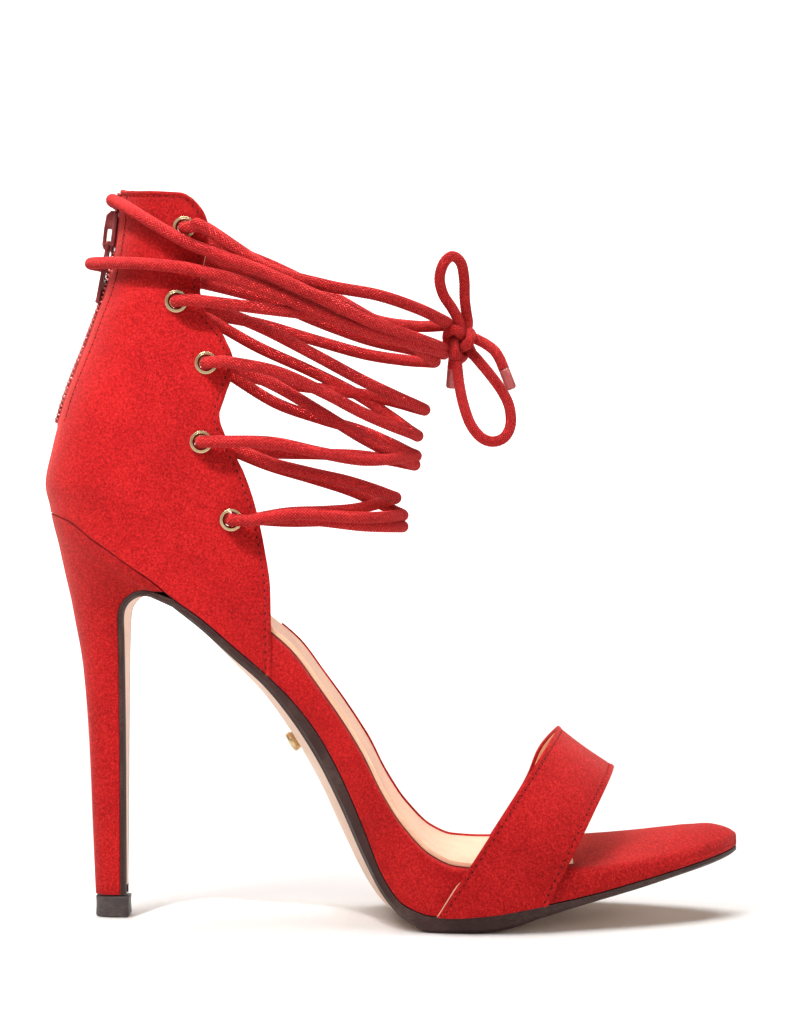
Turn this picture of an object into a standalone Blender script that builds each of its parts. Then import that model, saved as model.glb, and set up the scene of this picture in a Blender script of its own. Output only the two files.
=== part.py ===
"""Open-toe lace-up stiletto sandal with a closed back and a back zip, right foot.

The drawing is in millimetres. X runs from heel to toe, Y from the outer to the inner side of the
foot and Z up from the floor. TO_PART turns it into metres, with the middle of the footprint at the
origin.
"""

import bisect
import math
from collections import namedtuple

import bmesh
import bpy
import numpy as np
from mathutils import Matrix, Vector

# Driving dimensions, in millimetres
FOOTPRINT_MIDDLE = (-2.463, -1.009)
GAP = 0.35
WALL = 2.0
COLLAR_Z = 217.5
BED_STEP_X = -37.1
INNER_SET_BACK = 3.5
COUNTER_ROWS = 28
COUNTER_COLUMNS = 9
COUNTER_CROWDING = 1.35
SEAT_FRONT_X = -66.5

FLAP_THICKNESS = 1.7
BREAST_CENTRE = (-74.7, 89.4)
BREAST_RADIUS = 7.0
LIFT_HEIGHT = 6.3
LIFT_BACK_X = -91.2
LIFT_FRONT_X = -80.9
LIFT_HALF_WIDTH = 4.9
LIFT_ROUND = 6.8
LIFT_BEVEL = (0.3, 0.4)
FLAP_INSET = 0.2
HEEL_TOP_BACK_Z = 120.7
HEEL_TOP_HALF_WIDTH = 26.4
HEEL_TOP_ROUND = 29.4
HEEL_TOP_FRONT_X = -69.0

RIM_SHARE = 0.93
RIM_DROP = 1.0
SEAT_STATIONS = (-101.6, -100.0, -96.5, -91.0, -84.6, -78.7, -72.9)
INSOLE_THICKNESS = 1.2
INSOLE_FRONT_X = 50.0

STRAP_WALL = 1.6
STRAP_APEX_Y = 3.0
STRAP_ROUNDNESS = 2.5
STRAP_SPARE = 0.55
STRAP_SKEW = 0.085
STRAP_BED_Z = 18.8
STRAP_EDGE_Y = 38.0
STRAP_FOOT_Z = 6.0

EYELET_HOLE = 2.1
EYELET_FLANGE = 3.3
EYELET_BARREL = 2.45
EYELET_CROWN = (2.75, 1.2)
EYELET_LIP = 1.0
EYELET_BACK = 0.6
EYELET_CLEARANCE = 0.4
EYELET_DRILL = 8.0

ZIP_BOTTOM_Z = 147.0
ZIP_SLOT = 2.6
ZIP_TEETH = 2.1
ZIP_TEETH_PROUD = 0.5
ZIP_TAPE = 7.0
ZIP_TAPE_THICKNESS = 0.8
ZIP_TAPE_BOW_RADIUS = 25.0
ZIP_TAPE_GAP = 0.45
ZIP_ENDS = (2.0, 0.5)
ZIP_STEPS = 8
ZIP_REACH = 4.0
SLIDER_Z = 205.0
SLIDER_LENGTH = 12.4
SLIDER_WIDTH = 6.0
SLIDER_PLATE = (0.9, 1.8)
SLIDER_PLATE_BEVEL = 0.3
SLIDER_BRIDGE = (3.4, 4.6)
SLIDER_BRIDGE_WIDTH = 2.4
SLIDER_BRIDGE_INSET = 0.3
SLIDER_BRIDGE_BEVEL = 0.5
SLIDER_WINDOW = (-4.6, 4.2)
SLIDER_WINDOW_BEVEL = 0.2
TAB_PIVOT_OUT = 2.6
TAB_PIVOT_UP = -3.6
TAB_LENGTH = 18.4
TAB_THICKNESS = 1.1
TAB_LEAN_DEG = 10.2
TAB_ARM_CLEARANCE = 0.4
TAB_SHOULDER = 1.0
TAB_WAIST_DOWN = 6.5
TAB_FOOT = 1.2
TAB_TIP = (0.4, 2.0)
TAB_EYE_DOWN = 4.2

STUD_X = -31.0
STUD_RADIUS = 3.1
STUD_HEIGHT = 1.3
STUD_TAPER = 0.8
STUD_GAP = 0.65

LACE_RADIUS = 1.9
LACE_SIDES = 1
CORD_SIDES = 2
LACE_LEAVES_OUT = (1.6, 2.6, 3.7)
LACE_LEAVES_IN = (-2.95, -3.9, -5.0)
LACE_RUN_OUT = 1.8
LACE_LEAD = 6.0
LACE_MIDDLE_Y = 27.0
LACE_STEPS = 6
WRAP_CLEAR = 2.35
WRAP_OVER_EYELET = 1.4
WRAP_BACK_X = -86.0
WRAP_LEAVES_X = -60.0
WRAP_FRONT_X = 12.2
WRAP_BULGE_Y = 9.0
WRAP_STEPS = 7
KNOT_CENTRE = (18.6, 0.0, 173.3)
KNOT_SIZE = (4.5, 5.4, 4.7)
AGLET_RADIUS = 1.6

MM = 0.001
TO_PART = Matrix.Scale(MM, 4) @ Matrix.Translation((-FOOTPRINT_MIDDLE[0], -FOOTPRINT_MIDDLE[1], 0.0))

# Side profile of the sole: edge is the upper edge of the outsole, bed the rim of the footbed's top,
# dome how far the top rises in the middle (a cup where it is negative)
Profile = namedtuple("Profile", "x edge bed dome")
PROFILE = (
    Profile(-105.0, 121.0, 127.0, -1.2),
    Profile(-97.3, 118.1, 124.2, -1.2),
    Profile(-90.7, 113.2, 120.6, -1.2),
    Profile(-84.6, 109.1, 117.2, -1.2),
    Profile(-78.7, 104.8, 113.8, -1.2),
    Profile(-72.9, 101.0, 110.6, -1.2),
    Profile(-66.5, 95.7, 107.0, -1.0),
    Profile(-58.0, 89.6, 101.0, -0.8),
    Profile(-49.0, 81.8, 94.6, -0.6),
    Profile(-40.0, 74.1, 87.6, -0.5),
    Profile(-32.0, 66.2, 80.6, -0.4),
    Profile(-24.0, 55.9, 70.0, -0.2),
    Profile(-17.0, 43.2, 60.1, 0.0),
    Profile(-11.0, 29.6, 50.4, 0.0),
    Profile(-5.0, 15.2, 38.8, 0.0),
    Profile(1.0, 7.6, 29.8, 0.0),
    Profile(9.0, 4.8, 22.0, 0.0),
    Profile(16.0, 4.4, 19.0, 0.2),
    Profile(26.0, 5.1, 18.2, 0.5),
    Profile(40.0, 7.5, 18.4, 1.0),
    Profile(55.0, 10.2, 19.3, 1.6),
    Profile(70.0, 13.5, 20.7, 2.2),
    Profile(83.0, 16.4, 22.4, 2.4),
    Profile(91.0, 18.2, 23.6, 2.0),
    Profile(96.0, 19.3, 24.2, 1.4),
    Profile(99.4, 20.1, 24.5, 0.7),
    Profile(101.1, 20.7, 24.3, 0.0),
)

# Under side of the outsole: under is its lower edge, belly how far the middle hangs below that edge
Under = namedtuple("Under", "x under belly")
UNDER = (
    Under(-66.5, 93.4, 0.5),
    Under(-58.0, 86.8, 1.4),
    Under(-49.0, 78.8, 2.6),
    Under(-40.0, 71.0, 4.0),
    Under(-32.0, 61.5, 5.2),
    Under(-24.0, 49.3, 5.8),
    Under(-17.0, 35.5, 5.6),
    Under(-11.0, 21.9, 4.2),
    Under(-5.0, 10.4, 2.0),
    Under(1.0, 3.7, 0.5),
    Under(9.0, 0.0, 0.0),
    Under(26.0, 0.0, 0.0),
    Under(40.0, 4.0, 0.0),
    Under(55.0, 8.0, 0.0),
    Under(70.0, 11.5, 0.0),
    Under(83.0, 14.7, 0.0),
    Under(91.0, 16.5, 0.0),
    Under(96.0, 17.7, 0.0),
    Under(99.4, 18.6, 0.0),
    Under(101.1, 19.3, 0.0),
)

# Plan outline of the sole in front of the seat: the Y of its outer and inner edges
Outline = namedtuple("Outline", "x outer inner")
OUTLINE = (
    Outline(-66.5, -26.0, 26.0),
    Outline(-58.0, -25.7, 25.5),
    Outline(-49.0, -25.1, 24.7),
    Outline(-40.0, -24.5, 23.7),
    Outline(-32.0, -24.5, 22.8),
    Outline(-24.0, -25.3, 22.2),
    Outline(-17.0, -27.0, 22.5),
    Outline(-11.0, -29.4, 23.8),
    Outline(-5.0, -32.4, 26.2),
    Outline(1.0, -35.3, 29.3),
    Outline(8.0, -38.0, 33.0),
    Outline(16.0, -39.6, 36.0),
    Outline(26.0, -40.0, 38.0),
    Outline(40.0, -38.0, 37.6),
    Outline(55.0, -33.6, 34.6),
    Outline(70.0, -27.2, 29.8),
    Outline(83.0, -19.6, 23.8),
    Outline(91.0, -13.0, 19.0),
    Outline(96.0, -7.2, 14.6),
    Outline(99.4, -1.6, 10.4),
    Outline(101.1, 2.0, 7.0),
)

# Heel sections from under the seat to the top lift: back point, front point as a turn round the
# breast's curve and a drop below its centre, half width and the length of the rounded back
HeelRow = namedtuple("HeelRow", "back_x back_z turn drop half_width round")
HEEL = (
    HeelRow(-103.6, 116.5, 75, 0.0, 24.6, 28.0),
    HeelRow(-102.4, 112.0, 95, 0.0, 22.6, 25.0),
    HeelRow(-101.3, 107.0, 115, 0.0, 20.4, 21.0),
    HeelRow(-100.2, 102.0, 135, 0.0, 18.2, 18.0),
    HeelRow(-98.8, 96.0, 158, 0.0, 15.8, 15.0),
    HeelRow(-97.2, 87.5, 180, 2.4, 13.2, 12.5),
    HeelRow(-95.2, 76.0, 180, 13.9, 10.4, 10.5),
    HeelRow(-93.2, 52.0, 180, 37.4, 7.2, 8.5),
    HeelRow(-92.2, 28.0, 180, 61.4, 5.7, 7.6),
    HeelRow(-91.3, 6.7, 180, 82.7, 4.8, 6.8),
)

# The closed back: centre-back line, half width, length of the rounded back and how far the front
# edges tuck in, by height
Counter = namedtuple("Counter", "z back half_width round tuck")
COUNTER = (
    Counter(70.0, -104.4, 26.3, 30.0, 1.8),
    Counter(100.0, -104.4, 26.3, 30.0, 1.4),
    Counter(120.7, -104.6, 26.6, 29.0, 0.8),
    Counter(129.2, -106.2, 27.0, 28.0, 0.5),
    Counter(140.0, -104.2, 27.0, 27.0, 0.3),
    Counter(154.7, -100.2, 26.6, 26.0, 0.2),
    Counter(172.7, -93.3, 25.8, 25.0, 0.2),
    Counter(190.7, -87.0, 25.4, 24.0, 0.4),
    Counter(203.0, -84.6, 25.8, 23.5, 0.5),
    Counter(217.7, -83.2, 26.6, 23.0, 0.5),
)

# Scalloped front edge of the closed back
Edge = namedtuple("Edge", "z x")
FRONT_EDGE = (
    Edge(72.0, -37.5),
    Edge(98.0, -37.8),
    Edge(110.0, -39.4),
    Edge(123.0, -42.2),
    Edge(133.3, -45.7),
    Edge(140.6, -49.5),
    Edge(149.4, -52.5),
    Edge(157.0, -50.4),
    Edge(164.0, -48.3),
    Edge(172.5, -51.3),
    Edge(180.0, -56.8),
    Edge(187.0, -58.3),
    Edge(195.0, -57.0),
    Edge(203.0, -55.5),
    Edge(208.0, -56.8),
    Edge(212.0, -59.8),
    Edge(215.3, -65.5),
    Edge(217.5, -71.0),
)

# Eyelets of one side, from the top down
Eyelet = namedtuple("Eyelet", "x z")
EYELETS = (
    Eyelet(-62.9, 204.0),
    Eyelet(-65.2, 182.5),
    Eyelet(-56.5, 164.5),
    Eyelet(-57.9, 141.5),
    Eyelet(-49.2, 118.8),
)

# Toe strap between its rear and front edges: base X and rise in X per unit of height, and its
# height at the ridge
StrapEdge = namedtuple("StrapEdge", "base_x lean ridge_z")
STRAP_REAR = StrapEdge(11.0, 0.644, 56.5)
STRAP_FRONT = StrapEdge(41.8, 0.507, 44.2)

# Lace strands from an eyelet on the outer side, round the front, to one on the inner side. A face is
# "out" where the strand leaves the eyelet on the outside of the upper and "in" on its inside
Strand = namedtuple("Strand", "outer_eyelet outer_face inner_eyelet inner_face turn_x turn_z")
LACE_LEVELS = {
    "lace_crossing_bottom": (
        Strand(4, "in", 4, "in", 0.8, 116.7),
        Strand(4, "out", 3, "in", 0.8, 120.1),
        Strand(3, "in", 4, "out", -1.3, 125.3),
    ),
    "lace_crossing_lower": (
        Strand(3, "out", 2, "in", 4.4, 139.0),
        Strand(2, "in", 3, "out", 4.4, 135.6),
    ),
    "lace_crossing_upper": (
        Strand(2, "out", 1, "in", 5.3, 143.9),
        Strand(1, "in", 2, "out", 7.4, 151.7),
    ),
    "lace_crossing_top": (
        Strand(1, "out", 0, "in", 11.4, 168.6),
        Strand(0, "in", 1, "out", 10.5, 166.2),
        Strand(0, "out", 0, "out", 12.2, 174.6),
    ),
}

# Turns of the lace round the back of the ankle: height along X, and how far the lace stands off the
# zip at the centre back
WrapRow = namedtuple("WrapRow", "x z")
Wrap = namedtuple("Wrap", "rows stand_off")
WRAPS = (
    Wrap((WrapRow(-86.0, 214.3), WrapRow(-61.0, 199.0), WrapRow(13.0, 173.0)), 0.5),
    Wrap((WrapRow(-92.0, 195.5), WrapRow(-58.0, 191.2), WrapRow(13.0, 171.4)), 4.4),
)

# Free stretches of the lace, each a route of hand-picked points
LOOP_UPPER = (
    (17.4, -1.4, 178.6),
    (15.6, -2.6, 182.0),
    (12.9, -4.4, 186.0),
    (11.8, -6.0, 190.6),
    (13.0, -7.2, 195.0),
    (15.6, -7.2, 197.2),
    (18.2, -5.8, 195.2),
    (19.2, -3.4, 190.4),
    (19.4, -0.6, 185.0),
    (20.0, 1.6, 180.6),
    (20.4, 1.9, 178.2),
)
LOOP_LOWER = (
    (17.0, -1.0, 167.9),
    (17.1, -2.6, 165.0),
    (17.7, -4.6, 159.2),
    (18.9, -6.2, 153.2),
    (21.0, -7.2, 147.2),
    (24.2, -7.6, 143.2),
    (27.8, -7.4, 142.0),
    (31.2, -6.6, 143.4),
    (33.0, -5.6, 147.2),
    (32.6, -4.4, 152.6),
    (30.4, -3.0, 157.4),
    (27.0, -1.4, 162.2),
    (22.8, 0.6, 167.4),
    (21.7, 1.2, 168.6),
)
END_OUTER = (
    (23.4, -1.6, 172.6),
    (25.8, -3.0, 171.2),
    (28.2, -4.4, 169.2),
    (29.8, -5.4, 166.6),
    (30.9, -6.0, 163.8),
)
AGLET_OUTER = ((31.05, -6.1, 163.4), (33.3, -6.9, 157.6))
END_INNER = (
    (19.0, 5.8, 174.6),
    (18.4, 8.6, 174.2),
    (17.2, 11.2, 171.6),
    (16.4, 12.4, 168.2),
    (16.0, 12.9, 165.0),
)
AGLET_INNER = ((15.95, 12.95, 164.6), (15.5, 13.4, 158.6))

# Finish of each piece: base colour, roughness, metallic
Finish = namedtuple("Finish", "colour roughness metallic")
SUEDE = Finish((0.62, 0.012, 0.016), 0.85, 0.0)
LACE = Finish((0.60, 0.030, 0.035), 0.75, 0.0)
PEACH = Finish((0.80, 0.55, 0.40), 0.60, 0.0)
SOLE_EDGE = Finish((0.030, 0.024, 0.024), 0.45, 0.0)
LIFT = Finish((0.045, 0.032, 0.032), 0.50, 0.0)
GOLD = Finish((0.80, 0.62, 0.33), 0.25, 1.0)
ZIP_CLOTH = Finish((0.30, 0.02, 0.025), 0.70, 0.0)
ZIP_METAL = Finish((0.16, 0.03, 0.03), 0.35, 1.0)
CLEAR_TIP = Finish((0.75, 0.32, 0.32), 0.25, 0.0)

SHOE = None


def along(rows, key, value, at):
    """One column of a table at any station, on a smooth curve that does not overshoot the rows."""
    xs = [getattr(row, key) for row in rows]
    ys = [getattr(row, value) for row in rows]
    secants = [(b - a) / (d - c) for a, b, c, d in zip(ys, ys[1:], xs, xs[1:])]
    i = min(max(bisect.bisect_right(xs, at) - 1, 0), len(secants) - 1)
    t = min(max((at - xs[i]) / (xs[i + 1] - xs[i]), 0.0), 1.0)

    def slope(k):
        if k == 0:
            return secants[0]
        if k == len(secants):
            return secants[-1]
        before, after = secants[k - 1], secants[k]
        if before * after <= 0.0:
            return 0.0
        return 2.0 * before * after / (before + after)

    span = xs[i + 1] - xs[i]
    start = (1 + 2 * t) * (1 - t) ** 2 * ys[i] + t * (1 - t) ** 2 * span * slope(i)
    end = t * t * (3 - 2 * t) * ys[i + 1] + t * t * (t - 1) * span * slope(i + 1)
    return start + end


def steepness(value, x):
    """Vertical length of a unit measured square to the profile."""
    rise = along(PROFILE, "x", value, x + 1.0) - along(PROFILE, "x", value, x - 1.0)
    return math.hypot(1.0, rise / 2.0)


def finish_material(name, finish):
    material = bpy.data.materials.new(name)
    material.use_nodes = True
    shader = material.node_tree.nodes["Principled BSDF"]
    shader.inputs["Base Color"].default_value = (*finish.colour, 1.0)
    shader.inputs["Roughness"].default_value = finish.roughness
    shader.inputs["Metallic"].default_value = finish.metallic
    return material


def add_object(name, data, finish, smooth_deg=40.0):
    """Links a piece to the scene under the shoe's empty, with a material of its own."""
    piece = bpy.data.objects.new(name, data)
    bpy.context.scene.collection.objects.link(piece)
    piece.parent = SHOE
    if not data.materials:
        data.materials.append(finish_material(name, finish))
    if isinstance(data, bpy.types.Mesh):
        data.shade_smooth()
        data.set_sharp_from_angle(angle=math.radians(smooth_deg))
    return piece


def mesh_of(name, bm, matrix=TO_PART):
    """Closes a bmesh drawn in millimetres into a mesh in metres."""
    bmesh.ops.transform(bm, matrix=matrix, verts=bm.verts)
    bmesh.ops.recalc_face_normals(bm, faces=bm.faces)
    mesh = bpy.data.meshes.new(name)
    bm.to_mesh(mesh)
    bm.free()
    return mesh


def loft(rings):
    """A closed solid through rings of equal count, capped by strips between facing points."""
    bm = bmesh.new()
    loops = [[bm.verts.new(point) for point in ring] for ring in rings]
    count = len(rings[0])
    for lower, upper in zip(loops, loops[1:]):
        for i in range(count):
            j = (i + 1) % count
            bm.faces.new((lower[i], lower[j], upper[j], upper[i]))
    for loop in (loops[0], loops[-1]):
        for i in range(count // 2 - 1):
            bm.faces.new((loop[i], loop[i + 1], loop[count - 2 - i], loop[count - 1 - i]))
    return bm


def sheet(grid):
    """An open surface through a grid of points."""
    bm = bmesh.new()
    rows = [[bm.verts.new(point) for point in row] for row in grid]
    for lower, upper in zip(rows, rows[1:]):
        for i in range(len(lower) - 1):
            bm.faces.new((lower[i], lower[i + 1], upper[i + 1], upper[i]))
    return bm


def thicken(piece, wall):
    """Gives an open surface its wall, on the inner side of its faces."""
    solid = piece.modifiers.new("wall", "SOLIDIFY")
    solid.thickness = wall * MM
    solid.offset = -1.0
    solid.use_even_offset = True


def hide_helper(piece):
    piece.hide_render = True
    piece.display_type = "WIRE"


def combine(piece, helper, operation):
    hide_helper(helper)
    step = piece.modifiers.new(operation.lower(), "BOOLEAN")
    step.operation = operation
    step.object = helper
    step.solver = "EXACT"


# Surfaces of the closed back


def counter_plan(z, inset=0.0):
    """Plan curve of the closed back at one height, from centre back to front edge."""
    back = along(COUNTER, "z", "back", z) + inset
    half_width = along(COUNTER, "z", "half_width", z) - inset
    rounded = along(COUNTER, "z", "round", z) - inset
    tuck = along(COUNTER, "z", "tuck", z)
    length = along(FRONT_EDGE, "z", "x", z) - back
    depth = length * (1.0 - np.cos(np.linspace(0.0, math.pi / 2.0, 60)))
    before_side = np.clip(1.0 - depth / rounded, 0.0, 1.0)
    past_side = np.clip((depth - rounded) / max(length - rounded, 1.0), 0.0, 1.0)
    y = half_width * np.sqrt(1.0 - before_side ** 2) - tuck * past_side ** 2
    return back + depth, y


def counter_arc(z, share, set_back=0.0):
    """Point of the plan curve, share 0 at the zip's slot and 1 at the front edge."""
    x, y = counter_plan(z)
    arc = np.concatenate(([0.0], np.cumsum(np.hypot(np.diff(x), np.diff(y)))))
    at = ZIP_SLOT + (arc[-1] - set_back - ZIP_SLOT) * share
    return float(np.interp(at, arc, x)), float(np.interp(at, arc, y))


def counter_half_width(x, z, inset=0.0):
    xs, ys = counter_plan(z, inset)
    return float(np.interp(x, xs, ys))


def counter_foot(share, set_back):
    """Height of the closed back's lower edge, which follows the seam on heel and outsole."""
    z = 100.0
    for _ in range(12):
        x = counter_arc(z, share, set_back)[0]
        z = along(PROFILE, "x", "edge", x) + GAP * steepness("edge", x)
    return z


def counter_column(share, set_back, rises):
    """Points of the closed back's outer face from its lower edge to the collar, on the inner side."""
    foot = counter_foot(share, set_back)
    heights = [foot + (COLLAR_Z - foot) * rise for rise in rises]
    return [(*counter_arc(z, share, set_back), z) for z in heights]


def counter_frame(x, z, side):
    """Frame on the outer face: local Z points out of the upper, local X towards the front edge."""
    y = counter_half_width(x, z)
    step = 0.5
    along_x = Vector((2 * step, counter_half_width(x + step, z) - counter_half_width(x - step, z), 0.0))
    along_z = Vector((0.0, counter_half_width(x, z + step) - counter_half_width(x, z - step), 2 * step))
    out = along_z.cross(along_x).normalized()
    out = Vector((out.x, abs(out.y) * side, out.z))
    forward = Vector((along_x.x, along_x.y * side, 0.0)).normalized()
    forward = (forward - out * forward.dot(out)).normalized()
    frame = Matrix((forward, out.cross(forward), out)).transposed().to_4x4()
    return Matrix.Translation((x, y * side, z)) @ frame


def zip_frame(z):
    """Frame on the centre-back line: local X points backwards out of the zip, local Z up along it."""
    lower = along(COUNTER, "z", "back", z - ZIP_REACH)
    upper = along(COUNTER, "z", "back", z + ZIP_REACH)
    up = Vector((upper - lower, 0.0, 2 * ZIP_REACH)).normalized()
    out = Vector((-up.z, 0.0, up.x))
    frame = Matrix((out, up.cross(out), up)).transposed().to_4x4()
    return Matrix.Translation((along(COUNTER, "z", "back", z), 0.0, z)) @ frame


# Sole, footbed and insole


def breast_point(row, offset):
    """Point on the heel's breast, offset from the visible face of the sole's flap."""
    angle = math.radians(row.turn)
    radius = BREAST_RADIUS + offset
    x = BREAST_CENTRE[0] + radius * math.cos(angle)
    z = BREAST_CENTRE[1] + radius * math.sin(angle) - row.drop
    return x, z


def outsole():
    shares = (-1.0, -0.7, -0.35, 0.0, 0.35, 0.7, 1.0)
    rings = []
    for row in reversed(HEEL):
        hidden = breast_point(row, FLAP_THICKNESS)
        visible = breast_point(row, 0.0)
        half = row.half_width - FLAP_INSET
        top = [(hidden[0], share * half, hidden[1]) for share in shares]
        under = [(visible[0], share * half, visible[1]) for share in reversed(shares)]
        rings.append(top + under)
    for x in sole_stations():
        edge = along(PROFILE, "x", "edge", x)
        lower = along(UNDER, "x", "under", x)
        belly = along(UNDER, "x", "belly", x)
        outer = along(OUTLINE, "x", "outer", x)
        inner = along(OUTLINE, "x", "inner", x)
        across = [(outer + inner) / 2 + share * (inner - outer) / 2 for share in shares]
        top = [(x, y, edge) for y in across]
        under = [(x, y, lower - belly * (1 - share ** 2)) for y, share in zip(across, shares)]
        rings.append(top + under[::-1])
    return add_object("outsole", mesh_of("outsole", loft(rings)), SOLE_EDGE)


def sole_stations():
    """Stations in front of the seat, shared by outsole, footbed and insole so that they lie parallel."""
    rows = [row.x for row in PROFILE if row.x >= SEAT_FRONT_X]
    steps = [BED_STEP_X, BED_STEP_X - INNER_SET_BACK]
    return sorted(rows + steps + [step - 0.2 for step in steps])


def bed_stations():
    """Stations of the footbed, from the back of the seat to the toe."""
    return [*SEAT_STATIONS, *sole_stations()]


def bed_edges(x):
    """Y of the footbed's outer and inner edges, which step in where the closed back covers them."""
    low = along(PROFILE, "x", "edge", x)
    high = along(PROFILE, "x", "bed", x)
    half = min(counter_half_width(x, z, WALL + 2 * GAP) for z in (low, (low + high) / 2, high))
    outer = -half if x < BED_STEP_X else along(OUTLINE, "x", "outer", x)
    inner = half if x < BED_STEP_X - INNER_SET_BACK else along(OUTLINE, "x", "inner", x)
    return outer, inner


def bed_section(x, shares):
    """Y and height of the footbed's top at shares of its half width."""
    outer, inner = bed_edges(x)
    bed = along(PROFILE, "x", "bed", x)
    dome = along(PROFILE, "x", "dome", x)
    points = []
    for share in shares:
        y = (outer + inner) / 2 + share * (inner - outer) / 2
        drop = RIM_DROP if abs(share) == 1.0 else 0.0
        points.append((y, bed + dome * (1 - share ** 2) - drop))
    return points


TOP_SHARES = (-RIM_SHARE, -0.55, 0.0, 0.55, RIM_SHARE)


def footbed():
    shares = (-1.0, *TOP_SHARES, 1.0)
    rings = []
    for x in bed_stations():
        foot = along(PROFILE, "x", "edge", x) + GAP * steepness("edge", x)
        section = bed_section(x, shares)
        under = [(x, y, foot) for y, _ in section]
        top = [(x, y, z) for y, z in section]
        rings.append(under + top[::-1])
    return add_object("footbed", mesh_of("footbed", loft(rings)), SUEDE)


def insole():
    stations = [x for x in bed_stations()[1:] if x < INSOLE_FRONT_X] + [INSOLE_FRONT_X]
    rings = []
    for x in stations:
        lift = GAP * steepness("bed", x)
        thickness = INSOLE_THICKNESS * steepness("bed", x)
        section = bed_section(x, TOP_SHARES)
        under = [(x, y, z + lift) for y, z in section]
        top = [(x, y, z + lift + thickness) for y, z in section]
        rings.append(under + top[::-1])
    return add_object("insole", mesh_of("insole", loft(rings)), PEACH)


# Heel


def heel_ring(back, front, half_width, rounded, height=None):
    """A D-shaped ring from its front corner round the back, straight across the front."""
    shares = [0.0, 0.18, 0.36, 0.54, 0.70, 0.82, 0.91, 0.97, 1.0]
    side = []
    for share in shares:
        x = front[0] + (back[0] - front[0]) * share
        z = front[1] + (back[1] - front[1]) * share
        if height:
            z = height(x)
        before_side = min(max(1.0 - (x - back[0]) / rounded, 0.0), 1.0)
        y = max(half_width * math.sqrt(1.0 - before_side ** 2), 0.06 * half_width)
        side.append((x, y, z))
    return [(x, -y, z) for x, y, z in side] + side[::-1]


def heel():
    front_z = along(PROFILE, "x", "edge", HEEL_TOP_FRONT_X)
    back_x = along(COUNTER, "z", "back", HEEL_TOP_BACK_Z)
    rings = [heel_ring((back_x, HEEL_TOP_BACK_Z), (HEEL_TOP_FRONT_X, front_z), HEEL_TOP_HALF_WIDTH,
                       HEEL_TOP_ROUND, lambda x: along(PROFILE, "x", "edge", x))]
    for row in HEEL:
        front = breast_point(row, FLAP_THICKNESS + GAP)
        rings.append(heel_ring((row.back_x, row.back_z), front, row.half_width, row.round))
    return add_object("heel", mesh_of("heel", loft(rings)), SUEDE)


def top_lift():
    def ring(z, inset):
        return heel_ring((LIFT_BACK_X + inset, z), (LIFT_FRONT_X - inset, z),
                         LIFT_HALF_WIDTH - inset, LIFT_ROUND)
    inset, rise = LIFT_BEVEL
    rings = [ring(0.0, inset), ring(rise, 0.0), ring(LIFT_HEIGHT, 0.0)]
    return add_object("top_lift", mesh_of("top_lift", loft(rings)), LIFT)


# Upper


def counter():
    """The closed back: one wall with a slot for the zip and a hole for each eyelet."""
    rises = [1.0 - (1.0 - k / COUNTER_ROWS) ** COUNTER_CROWDING for k in range(COUNTER_ROWS + 1)]
    shares = [k / COUNTER_COLUMNS for k in range(COUNTER_COLUMNS + 1)]
    outer = [[(x, -y, z) for x, y, z in counter_column(share, 0.0, rises)]
             for share in reversed(shares)]
    inner = [counter_column(share, INNER_SET_BACK, rises) for share in shares]
    bm = sheet(outer + inner)
    slot = [face for face in bm.faces
            if face.calc_center_median().z > ZIP_BOTTOM_Z and abs(face.calc_center_median().y) < 0.5]
    bmesh.ops.delete(bm, geom=slot, context="FACES")
    mesh = mesh_of("counter", bm)
    piece = add_object("counter", mesh, SUEDE)
    face_outwards(mesh)
    thicken(piece, WALL)
    combine(piece, eyelet_drill(), "DIFFERENCE")
    return piece


def face_outwards(mesh):
    """Turns an open surface so that its faces point away from the middle plane."""
    lean = sum(face.normal.y * math.copysign(1.0, face.center.y - TO_PART.translation.y) * face.area
               for face in mesh.polygons)
    if lean < 0.0:
        mesh.flip_normals()


def eyelet_frames():
    for side, word in ((-1.0, "outer"), (1.0, "inner")):
        for number in range(len(EYELETS)):
            yield f"eyelet_{word}_{number + 1}", eyelet_frame(number, side)


def eyelet_frame(number, side):
    eyelet = EYELETS[number]
    return counter_frame(eyelet.x - (INNER_SET_BACK if side > 0.0 else 0.0), eyelet.z, side)


def eyelet_drill():
    """One cylinder for each eyelet hole in the upper."""
    radius = EYELET_BARREL + EYELET_CLEARANCE
    bm = bmesh.new()
    for _, frame in eyelet_frames():
        bmesh.ops.create_cone(bm, cap_ends=True, segments=12, radius1=radius, radius2=radius,
                              depth=EYELET_DRILL, matrix=frame)
    return add_object("eyelet_drill", mesh_of("eyelet_drill", bm), GOLD)


def eyelets():
    """Ten eyelets that share one turned shape: a rounded flange outside and a barrel in the wall."""
    profile = ((EYELET_HOLE, EYELET_LIP), EYELET_CROWN, (EYELET_FLANGE, GAP), (EYELET_BARREL, GAP),
               (EYELET_BARREL, -WALL - EYELET_BACK), (EYELET_HOLE, -WALL - EYELET_BACK))
    bm = bmesh.new()
    ring = [bm.verts.new((radius, 0.0, height)) for radius, height in profile]
    edges = [bm.edges.new((a, b)) for a, b in zip(ring, ring[1:] + ring[:1])]
    bmesh.ops.spin(bm, geom=ring + edges, axis=(0, 0, 1), cent=(0, 0, 0), angle=math.tau,
                   steps=10, use_merge=True)
    bmesh.ops.remove_doubles(bm, verts=bm.verts, dist=0.001)
    mesh = mesh_of("eyelet", bm, Matrix.Scale(MM, 4))
    for name, frame in eyelet_frames():
        piece = add_object(name, mesh, GOLD)
        place = TO_PART @ frame
        piece.location = place.translation
        piece.rotation_euler = frame.to_euler()


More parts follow.
